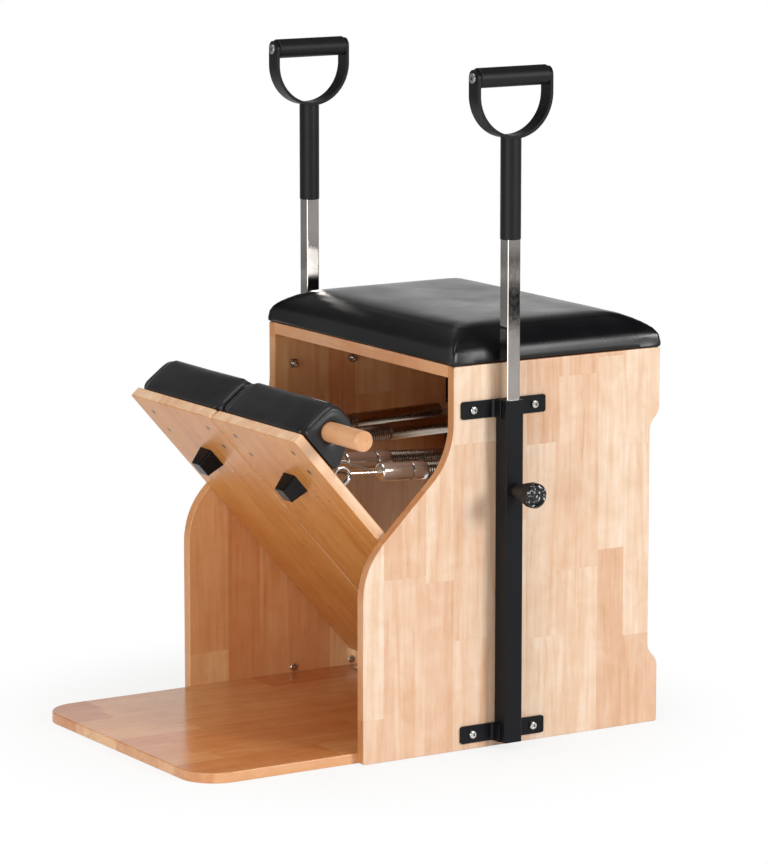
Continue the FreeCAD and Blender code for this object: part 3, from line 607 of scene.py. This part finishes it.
def knob_finish(face):
    """Black plastic: satin round the stem, and a polished, wavy face with pale painted glints."""
    finish = Finish("polished black")
    look = chair().hardware
    axes = finish.node("SeparateXYZ", {"Vector": finish.place}).outputs
    front = finish.climb(finish.math("ABSOLUTE", axes["X"]), face - 0.004, face - 0.002)
    wave = finish.noise(130.0, 3.0)
    # Pale spots over the face: painted glints for its broken highlights.
    glints = finish.math("MULTIPLY", finish.climb(finish.noise(230.0, 3.0), 0.58, 0.63), front)
    finish.set(Base_Color=finish.ramp(glints, [(0.0, tuple(look.knob)), (1.0, tuple(look.glint))]),
               Roughness=finish.spread(front, 0.55, 0.09), Specular_IOR_Level=0.42)
    finish.bump(finish.math("MULTIPLY", wave, finish.spread(front, 0.02, 1.0)), 1.0, 0.0038)
    return finish.material


def paint(finish, *nodes):
    """Give CAD nodes a material."""
    for name in nodes:
        mesh = frame["nodes"][name].data
        mesh.materials.clear()
        mesh.materials.append(finish)


def both(*names):
    """Left and right node names."""
    return [side + "_" + name for side, _ in SIDES for name in names]


# Operators

class CHAIR_OT_boards(Operator):
    """Give every board its laminated wood"""
    bl_idname = "chair.boards"
    bl_label = "Finish the boards"

    def execute(self, context):
        wood = chair().wood
        pivot = JOINTS["right_pedal_hinge"]["pos_m"]
        level = pivot[1] * math.sin(PEDAL_ANGLE) + pivot[2] * math.cos(PEDAL_ANGLE)
        panel_low, panel_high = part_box("right_side_panel")
        panel = (panel_low.x + panel_high.x) / 2
        floor_low, floor_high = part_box("base_board")
        floor = (floor_low.z + floor_high.z) / 2
        paint(board_finish("right panel wood", "Y", "Z", wood.outer, 3.1, middle=panel,
                           edges=wood.outer_edge, contrast=0.9), "right_side_panel")
        # The left panel's warmer, darker tint is painted shade.
        paint(board_finish("left panel wood", "Y", "Z", wood.inner, 2.7, middle=-panel,
                           edges=wood.inner_edge, contrast=1.8), "left_side_panel")
        # The floor board's dark, saturated faces are painted shade; its edges keep a pale tint.
        paint(board_finish("floor board wood", "X", "Y", wood.floor, 5.7, middle=floor,
                           edges=wood.floor_edge, contrast=1.4, shine=0.12), "base_board")
        paint(board_finish("seat board wood", "Y", "X", wood.seat, 1.9), "seat_board")
        # The back board's dark tint is painted shade.
        paint(board_finish("back board wood", "Z", "X", wood.back, 6.6), "back_board")
        # The pedal boards' darker, saturated faces are painted shade; their edges keep a pale tint.
        paint(board_finish("pedal wood", "X", "Y", wood.pedal, 2.3, turn=PEDAL_ANGLE, middle=level,
                           edges=wood.pedal_edge, contrast=0.4), *both("pedal_board"))
        paint(board_finish("dowel wood", "Y", "X", wood.dowel, 4.2, single=True), "connecting_dowel")
        return {"FINISHED"}


class CHAIR_OT_hardware(Operator):
    """Give the metal, plastic and rubber pieces their finish"""
    bl_idname = "chair.hardware"
    bl_label = "Finish the hardware"

    def execute(self, context):
        look = chair().hardware
        paint(coated_finish(), *both("post_sleeve", "upper_bracket", "lower_bracket", "handle_bow",
                                     "spring_rack"))
        paint(metal_finish("chrome", look.chrome, rough=0.035, scale=150.0), *both("handle_tube"))
        # The caps' pale cream, partly matt chrome is painted reflection.
        paint(metal_finish("cap chrome", look.cap, rough=0.12, scale=300.0, bare=0.84),
              *both("rear_hooks", "front_hooks"))
        paint(metal_finish("zinc", look.zinc, rough=0.24, scale=700.0), "rack_screws",
              *both("bracket_bolts", "bracket_nuts", "hinge_pin", "hinge_base_leaf", "hinge_pedal_leaf",
                    "spring_eyes"))
        paint(metal_finish("bronze", look.bronze, rough=0.34, scale=700.0), *both("pedal_screws"))
        paint(metal_finish("axle steel", shaded(look.zinc, 0.6), rough=0.36, scale=300.0), *both("bar_axle"))
        paint(rubber_finish("grip rubber", look.grip, rough=0.50, scale=1100.0, relief=0.25),
              *both("tube_grip", "bar_grip"))
        paint(rubber_finish("bumper rubber", look.knob, rough=0.30, scale=500.0, relief=0.10),
              *both("pedal_bumper"))
        paint(rubber_finish("bush plastic", look.grip, rough=0.46, scale=1500.0, relief=0.10),
              *both("sleeve_bush"))
        paint(knob_finish(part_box("right_clamp_knob")[1].x), *both("clamp_knob"))
        return {"FINISHED"}


def rounded_outline(half_x, half_y, radius, arc=14, side=40):
    """A rectangle with round corners, as points round it: four quarter circles joined by straight runs."""
    corners = ((1, 1, 0.0), (-1, 1, 0.5), (-1, -1, 1.0), (1, -1, 1.5))
    runs = []
    for sign_x, sign_y, turn in corners:
        angle = (turn + np.linspace(0.0, 0.5, arc)) * math.pi
        middle = np.array([sign_x * (half_x - radius), sign_y * (half_y - radius)])
        runs.append(middle + radius * np.stack([np.cos(angle), np.sin(angle)], axis=-1))
    joined = []
    for here, after in zip(runs, runs[1:] + runs[:1]):
        steps = np.linspace(0.0, 1.0, side + 2)[1:-1, None]
        joined += [here, here[-1] + steps * (after[0] - here[-1])]
    return np.concatenate(joined)


def cushion_profile(look, half_y):
    """The cushion's half section as (inset, height) over its base, up its side band and over its top.
    The shoulder rises as the root of 1 less the cube of the share of the roll that is left, and the dome as
    1 less the square of the share of the way that is left to the middle."""
    base_rows, side_rows, top_rows, hole = 24, 8, 59, 0.002
    base = np.stack([np.linspace(half_y - hole, 0.0, base_rows), np.zeros(base_rows)], axis=-1)
    side = np.stack([np.zeros(side_rows), np.linspace(0.0, look.band, side_rows + 1)[1:]], axis=-1)
    inset = np.linspace(0.0, 1.0, top_rows + 1)[1:] ** 1.6 * (half_y - hole)
    left = np.clip(1.0 - inset / look.roll, 0.0, 1.0)
    rise = look.shoulder * (1.0 - left ** 3) ** 0.5
    rise += look.dome * (1.0 - (1.0 - inset / half_y) ** 2)
    top = np.stack([inset, look.band + rise], axis=-1)
    return np.concatenate([base, side, top])


def cushion_rings(look, half_x, half_y):
    """The profile carried round the outline. Corners grow rounder inwards, and stand out as ears by the
    eighth power of how near a point is to its corner."""
    rings = []
    for inset, height in cushion_profile(look, half_y):
        radius = min(look.corner + 0.3 * inset, half_y - inset - 0.001)
        ring = rounded_outline(half_x - inset, half_y - inset, radius)
        near_corner = np.abs(ring[:, :1] * ring[:, 1:]) / (half_x * half_y)
        ring = ring + np.sign(ring) * look.ear * near_corner ** 8
        rings.append(np.concatenate([ring, np.full((len(ring), 1), height)], axis=1))
    return np.array(rings)


class CHAIR_OT_cushion(Operator):
    """Upholster the seat: a crowned cushion blown up as cloth, held at its base and corner seams"""
    bl_idname = "chair.cushion"
    bl_label = "Make the seat cushion"

    def execute(self, context):
        look, hide = chair().cushion, chair().leather
        low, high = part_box("seat_cushion")
        middle = (low + high) / 2
        half_x, half_y = (high.x - low.x) / 2, (high.y - low.y) / 2
        points = cushion_rings(look, half_x, half_y) + (middle.x, middle.y, low.z)
        cushion = make_piece("upholstered_seat", points, tube_faces(*points.shape[:2]),
                             leather_finish("seat leather", hide.black, hide.gloss))
        remesh(cushion, look.voxel)
        spots = read_points(cushion.data)
        over_x = np.abs(spots[:, 0] - middle.x) - (half_x - look.corner)
        over_y = np.abs(spots[:, 1] - middle.y) - (half_y - look.corner)
        near_corner = (over_x > -look.voxel) & (over_y > -look.voxel)
        on_seam = near_corner & (np.abs(over_x - over_y) < look.voxel)
        seam = on_seam & (spots[:, 2] < low.z + 0.7 * look.band)
        base = spots[:, 2] < low.z + look.voxel / 2
        inflate(cushion, base | seam, look.swell)
        spots = read_points(cushion.data)
        spots[:, 2] = np.maximum(spots[:, 2], low.z)
        write_points(cushion.data, spots)
        subdivide(cushion)
        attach(cushion, "frame")
        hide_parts("seat_cushion")
        return {"FINISHED"}


def pad_section(look, columns=104):
    """The pad's section as points of (along from the free end, over the board's middle): a given
    outline, its corners cut four times at a quarter and three quarters of their sides, then spaced evenly."""
    base, top, back = PEDAL_BOARD / 2, PEDAL_BOARD / 2 + look.height, look.depth
    outline = np.array([
        (0.010, base), (0.0, base), (0.0, base + 0.010), (0.0015, base + 0.040), (0.0045, top - 0.0045),
        (0.016, top), (0.046, top + 0.001), (back - 0.024, top - 0.002), (back - 0.0125, base + 0.036),
        (back, base + 0.010), (back, base), (back - 0.010, base)])
    for _ in range(4):
        after = np.roll(outline, -1, axis=0)
        quarters = [0.75 * outline + 0.25 * after, 0.25 * outline + 0.75 * after]
        outline = np.stack(quarters, axis=1).reshape(-1, 2)
    loop = np.concatenate([outline, outline[:1]])
    gone = np.concatenate([[0.0], np.cumsum(np.linalg.norm(np.diff(loop, axis=0), axis=1))])
    even = np.linspace(0.0, gone[-1], columns, endpoint=False)
    return np.stack([np.interp(even, gone, loop[:, 0]), np.interp(even, gone, loop[:, 1])], axis=-1)


def drawn_in(outline, bore, inset):
    """The outline drawn in by a length towards the bore's middle."""
    spokes = outline - bore
    return bore + spokes * (1.0 - inset / np.linalg.norm(spokes, axis=1, keepdims=True))


def bore_ring(outline, bore, radius):
    """A circle round the bore's middle, with a point towards each point of the outline."""
    spokes = outline - bore
    return bore + spokes / np.linalg.norm(spokes, axis=1, keepdims=True) * radius


def pad_rows(rings):
    """Rings at their places across, as rows of (across, along, over), kept over the board."""
    rows = np.empty((len(rings), len(rings[0][1]), 3))
    for row, (across, ring) in zip(rows, rings):
        row[:, 0] = across
        row[:, 1] = ring[:, 0]
        row[:, 2] = np.maximum(ring[:, 1], PEDAL_BOARD / 2)
    return rows


def pad_end(look, outline, bore, is_open):
    """One end of a pad: out over the swollen end face from the bore or the closed middle, round the soft edge
    in a quarter of an ellipse, into the seam and on to the main panel."""
    window = range(-look.soften, look.soften + 1)
    outline = np.mean([np.roll(outline, step, axis=0) for step in window], axis=0)
    rim = bore_ring(outline, bore, look.bore if is_open else look.bore / 12)
    edge = drawn_in(outline, bore, look.slack + look.end_depth)
    rings = [(END_FACE - look.bulge * math.sin(math.pi * part ** 0.8) ** 2, rim + part * (edge - rim))
             for part in np.linspace(0.0, 1.0, 9)]
    turns = np.linspace(0.0, math.pi / 2, 8)[1:]
    steps = [(END_FACE + look.end_width * (1.0 - math.cos(turn)), look.end_depth * (1.0 - math.sin(turn)))
             for turn in turns]
    seam_at = steps[-1][0]
    steps += [(seam_at + across, part * look.seam) for across, part in SEAM_STEPS]
    rings += [(across, drawn_in(outline, bore, look.slack + inset)) for across, inset in steps]
    return pad_rows(rings)


def pad_shape(look, outline, bore, width, through):
    """A pad's rows from its inner end, its faces, and the points that its filling can't move: all but the
    main panel over the base. The bore goes through, or else stops half-way."""
    near = pad_end(look, outline, bore, True)
    far = pad_end(look, outline, bore, through)[::-1]
    far[..., 0] = width - far[..., 0]
    skin = drawn_in(outline, bore, look.slack)
    places = np.linspace(near[-1, 0, 0], far[0, 0, 0], PANEL_ROWS + 2)[1:-1]
    panel = pad_rows([(across, skin) for across in places])
    circle = bore_ring(outline, bore, look.bore)
    depth = width if through else width / 2
    places = np.linspace(BORE_INSET, depth - BORE_INSET, BORE_ROWS)[::-1]
    wall = pad_rows([(across, circle) for across in places])
    if through:
        rows = np.concatenate([near, panel, far, wall])
        faces = grid_faces(len(rows), len(outline), close_rows=True)
        start = len(near)
    else:
        rows = np.concatenate([wall, near, panel, far])
        faces = tube_faces(len(rows), len(outline))
        start = len(wall) + len(near)
    held = np.ones(rows.shape[:2], bool)
    held[start:start + len(panel)] = outline[:, 1] < PEDAL_BOARD / 2 + 0.002
    return rows, faces, held.ravel()


class CHAIR_OT_pads(Operator):
    """Upholster both pedals: a wrapped block with soft sewn ends, its main panel blown up as cloth"""
    bl_idname = "chair.pads"
    bl_label = "Make the pedal pads"

    def execute(self, context):
        look, hide = chair().pads, chair().leather
        # The pads' lighter black is painted sheen.
        finish = leather_finish("pad leather", hide.pad, hide.pad_gloss)
        outline = pad_section(look)
        bore = np.array([look.bore_along, PEDAL_BOARD / 2 + look.bore_rise])
        for side, sign in SIDES:
            low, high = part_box(side + "_pedal_pad")
            inner = low.x if sign > 0 else high.x
            rows, faces, held = pad_shape(look, outline, bore, high.x - low.x, side == "right")
            rows[..., 0] = inner + sign * rows[..., 0]
            rows[..., 1] -= PEDAL_LENGTH
            pad = make_piece(side + "_upholstered_pad", on_pedal(rows), faces, finish)
            inflate(pad, held, look.swell)
            subdivide(pad)
            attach(pad, side + "_pedal")
            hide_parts(side + "_pedal_pad")
        return {"FINISHED"}


def round_line(start, end):
    """A line's length and direction, and two directions square to it, the first along X."""
    span = np.linalg.norm(end - start)
    axis = (end - start) / span
    beside = np.array([1.0, 0.0, 0.0])
    return span, axis, beside, np.cross(axis, beside)


def coil_points(start, end, look):
    """A helix: at angle t its middle lies one radius from the axis, turned by t, and a turn moves it on by
    the wire's thickness and the gap. A ring square to the helix carries the wire."""
    span, axis, beside, above = round_line(start, end)
    travel = span - 2.0 * look.wire
    turns = travel / (2.0 * look.wire + look.gap)
    angle = np.linspace(0.0, 2.0 * math.pi * turns, int(turns * look.steps))[:, None]
    out = np.cos(angle) * beside + np.sin(angle) * above
    middle = start + axis * (look.wire + travel * angle / angle[-1]) + look.radius * out
    way = look.radius * (np.cos(angle) * above - np.sin(angle) * beside) + axis * travel / angle[-1]
    way /= np.linalg.norm(way, axis=1, keepdims=True)
    square = np.cross(way, out)
    ring = angles(look.ring)[None, :, None]
    return middle[:, None] + look.wire * (np.cos(ring) * out[:, None] + np.sin(ring) * square[:, None])


def sleeve_points(start, end, radius, columns=40):
    """A tube of a radius round the line from start to end, with a small step at each end, and its bore."""
    span, axis, beside, above = round_line(start, end)
    angle = angles(columns)[:, None]
    around = np.cos(angle) * beside + np.sin(angle) * above
    rings = ((0.0, 0.987), (0.01, 1.0), (0.99, 1.0), (1.0, 0.987), (1.0, 0.98), (0.0, 0.98))
    return np.array([start + part * span * axis + size * radius * around for part, size in rings])


class CHAIR_OT_springs(Operator):
    """Wind the four springs, which stretch between their end caps, and sleeve their ends"""
    bl_idname = "chair.springs"
    bl_label = "Wind the springs"

    def execute(self, context):
        look = chair().springs
        # The springs' and rear sleeves' brown steel is partly painted reflection of the wood round them.
        steel = metal_finish("spring steel", chair().hardware.coil, rough=0.22, scale=300.0)
        for side, _ in SIDES:
            rung = np.array(JOINTS[side + "_spring_swing"]["pos_m"])
            way = np.array(JOINTS[side + "_spring_stretch"]["axis"])
            for place in ("inner", "outer"):
                node = side + "_" + place + "_spring"
                low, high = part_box(node)
                rung[0] = (low.x + high.x) / 2
                tilt = (look.radius + look.wire) * math.sqrt(1.0 - way[1] ** 2)
                reach = (rung[1] - low.y - tilt) / -way[1]
                start, end = rung + way * look.rear_cap, rung + way * reach
                points = coil_points(start, end, look)
                spring = make_piece("wound_" + node, points, tube_faces(*points.shape[:2]), steel)
                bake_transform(spring)
                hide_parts(node)
                radius = look.radius + look.wire + look.wall
                front = sleeve_points(end - way * look.sleeve, end, radius)
                self.sleeve("front_sleeve_" + node, front, "cap chrome", side + "_spring_ends")
                rear = sleeve_points(start, start + way * look.rear_sleeve, radius)
                self.sleeve("rear_sleeve_" + node, rear, "spring steel", side + "_springs")
        return {"FINISHED"}

    def sleeve(self, name, points, finish, body):
        """One smooth sleeve, in a finish that is there already."""
        faces = grid_faces(*points.shape[:2], close_rows=True)
        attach(make_piece(name, points, faces, bpy.data.materials[finish]), body)


def screw_rings(radius, height, columns=20):
    """A pan head: rings by shares of its radius and height, from its rim over the crown to a recess."""
    rim = np.array([(1.0, 0.0), (1.0, 0.35), (0.93, 0.66), (0.78, 0.88), (0.55, 1.0), (0.40, 1.0),
                    (0.34, 0.90), (0.32, 0.45), (0.08, 0.42)])
    angle = angles(columns)
    rings = np.empty((len(rim), columns, 3))
    rings[..., 0] = radius * rim[:, :1] * np.cos(angle)
    rings[..., 1] = radius * rim[:, :1] * np.sin(angle)
    rings[..., 2] = height * rim[:, 1:]
    return rings


class CHAIR_OT_screws(Operator):
    """Screw the hinges down"""
    bl_idname = "chair.screws"
    bl_label = "Make the hinge screws"

    def execute(self, context):
        look = chair().hardware
        head = screw_rings(look.screw_radius, look.screw_height)
        pivot = np.array(JOINTS["right_pedal_hinge"]["pos_m"])
        plate_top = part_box("base_board")[1].z + HINGE_LEAF
        leaf_top = PEDAL_BOARD / 2 + HINGE_LEAF
        for side, _ in SIDES:
            low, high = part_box(side + "_hinge_base_leaf")
            middle, half = (low.x + high.x) / 2, (high.x - low.x) / 2
            places = [middle + across * half for across in SCREWS_ACROSS]
            on_floor = [head + (across, pivot[1] + along, plate_top)
                        for across in places for along in FLOOR_SCREWS]
            on_leaf = [on_pedal(head + (across, -along, leaf_top))
                       for across in places for along in PEDAL_SCREWS]
            self.place(side + "_base_hinge_screws", on_floor, "frame")
            self.place(side + "_pedal_hinge_screws", on_leaf, side + "_pedal")
        return {"FINISHED"}

    def place(self, name, rows, body):
        """One mesh for a row of screws."""
        faces, count = [], 0
        for row in rows:
            faces += [[count + corner for corner in face] for face in tube_faces(*row.shape[:2])]
            count += row.shape[0] * row.shape[1]
        points = np.concatenate([row.reshape(-1, 3) for row in rows])
        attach(make_piece(name, points, faces, bpy.data.materials["zinc"]), body)


def lamp(name, place, target, size, power):
    """A soft square lamp that faces a point."""
    light = bpy.data.lights.new(name, "AREA")
    light.shape = "SQUARE"
    light.size = size
    light.energy = power
    made = add_object(name, light)
    made.location = place
    made.rotation_mode = "QUATERNION"
    made.rotation_quaternion = (Vector(target) - Vector(place)).to_track_quat("-Z", "Y")


class CHAIR_OT_stage(Operator):
    """Set up the floor, the lamps, the pale surroundings and the camera"""
    bl_idname = "chair.stage"
    bl_label = "Set the stage"

    def execute(self, context):
        look = chair().stage
        self.floor(look)
        self.surroundings(look)
        aim = Vector(look.target)
        lamp("key lamp", place=(3.65, 1.76, 1.70), target=aim, size=1.15, power=look.key_power)
        lamp("top lamp", place=(0.1, -0.5, 3.0), target=(0.0, 0.0, 0.3), size=1.8, power=look.top_power)
        lamp("front lamp", place=(1.5, -2.8, 0.6), target=aim, size=1.6, power=look.front_power)
        camera = bpy.data.cameras.new("camera")
        camera.lens = look.lens
        viewer = add_object("camera", camera)
        level = math.cos(look.elevation)
        back = Vector((math.sin(look.azimuth) * level, -math.cos(look.azimuth) * level,
                       math.sin(look.elevation)))
        viewer.location = aim + back * look.distance
        viewer.rotation_mode = "QUATERNION"
        viewer.rotation_quaternion = (-back).to_track_quat("-Z", "Y")
        context.scene.camera = viewer
        context.scene.view_settings.view_transform = "Standard"
        return {"FINISHED"}

    def floor(self, look):
        """A round floor whose far part fades to plain white where it is seen."""
        rings, columns, drop = 24, 96, 0.0006
        angle = angles(columns)
        radii = np.linspace(0.02, look.floor_radius, rings)[:, None]
        level = np.full((rings, columns), -drop)
        disc = np.stack([radii * np.cos(angle), radii * np.sin(angle), level], axis=-1)
        faces = grid_faces(rings, columns) + [list(range(columns))]
        mesh = bpy.data.meshes.new("floor")
        mesh.from_pydata(disc.reshape(-1, 3).tolist(), [], faces)
        ground = add_object("floor", mesh)
        finish = Finish("pale floor")
        tone = finish.ramp(finish.noise(3.0), [(0.0, shaded(look.floor, 0.98)), (1.0, tuple(look.floor))])
        finish.set(Base_Color=tone, Roughness=0.9, Specular_IOR_Level=0.0)
        away = finish.node("VectorMath", {0: finish.place}, operation="LENGTH").outputs["Value"]
        fade = finish.node("MapRange", {0: away, 1: 0.35, 2: 0.65, 3: 0.80, 4: 1.0},
                           interpolation_type="SMOOTHSTEP").outputs[0]
        white = finish.node("Emission", {"Strength": 1.0}).outputs[0]
        shown = {0: finish.math("MULTIPLY", fade, finish.seen()), 1: finish.shader.outputs[0], 2: white}
        mixed = finish.node("MixShader", shown).outputs[0]
        finish.feed(finish.tree.nodes["Material Output"].inputs["Surface"], mixed)
        mesh.materials.append(finish.material)

    def surroundings(self, look):
        """White where the camera looks, an even light on the object and, in mirrors, a pale wall behind the
        chair, dim ones beside and before it, a dark ceiling, and level stripes low before the chair."""
        world = bpy.data.worlds.new("studio")
        bpy.context.scene.world = world
        world.use_nodes = True
        tree = Nodes(world.node_tree)
        path = tree.node("LightPath").outputs
        way = tree.node("TexCoord").outputs["Generated"]
        rise = tree.node("SeparateXYZ", {"Vector": way}).outputs["Z"]
        away = (-math.sin(look.azimuth), math.cos(look.azimuth), 0.0)
        behind = tree.node("VectorMath", {0: way, 1: away}, operation="DOT_PRODUCT").outputs["Value"]
        wall_greys = ((0.0, 0.5), (0.5, 0.3), (0.75, 0.22), (0.95, 0.95))
        ceiling_greys = ((0.22, 1.0), (0.36, 0.14), (1.0, 0.08))
        stripe_greys = ((0.0, 1.6), (0.38, 1.5), (0.43, 0.05), (0.60, 0.04),
                        (0.64, 2.4), (0.68, 0.06), (0.71, 0.15), (0.76, 1.2))
        walls = tree.ramp(tree.climb(behind, -1.0, 1.0), greys(wall_greys))
        ceiling = tree.ramp(rise, greys(ceiling_greys))
        stripes = tree.ramp(tree.climb(rise, -0.17, -0.12), greys(stripe_greys))
        stripes = tree.math("MAXIMUM", stripes, tree.climb(behind, -0.1, 0.1))
        mirrored = tree.tint(tree.tint(walls, ceiling), stripes)
        light = tree.node("Mix", {0: path["Is Glossy Ray"], 6: (*look.ambient, 1.0), 7: mirrored},
                          data_type="RGBA")
        clear = tree.math("MAXIMUM", path["Is Camera Ray"], path["Is Transmission Ray"])
        shown = tree.node("Mix", {0: clear, 6: light.outputs[2], 7: (1.0, 1.0, 1.0, 1.0)}, data_type="RGBA")
        tree.feed(world.node_tree.nodes["Background"].inputs["Color"], shown.outputs[2])


class CHAIR_PT_sidebar(Panel):
    """The chair's steps in the sidebar"""
    bl_idname = "CHAIR_PT_sidebar"
    bl_label = "Pilates Chair"
    bl_space_type = "VIEW_3D"
    bl_region_type = "UI"
    bl_category = "Pilates Chair"

    def draw(self, context):
        for step in STEPS:
            self.layout.operator(step.bl_idname)


STEPS = (CHAIR_OT_boards, CHAIR_OT_hardware, CHAIR_OT_cushion, CHAIR_OT_pads,
         CHAIR_OT_springs, CHAIR_OT_screws, CHAIR_OT_stage)
CLASSES = (WoodSettings, LeatherSettings, HardwareSettings, CushionSettings, PadSettings, SpringSettings,
           StageSettings, ChairSettings, *STEPS, CHAIR_PT_sidebar)


def register():
    """Make the classes known and put the settings on the scene."""
    for kind in CLASSES:
        bpy.utils.register_class(kind)
    bpy.types.Scene.pilates_chair = PointerProperty(type=ChairSettings)


def unregister():
    """Take the settings and the classes away again."""
    del bpy.types.Scene.pilates_chair
    for kind in reversed(CLASSES):
        bpy.utils.unregister_class(kind)


def main():
    """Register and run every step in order."""
    register()
    for step in STEPS:
        group, name = step.bl_idname.split(".")
        getattr(getattr(bpy.ops, group), name)()


if __name__ == "__main__":
    main()
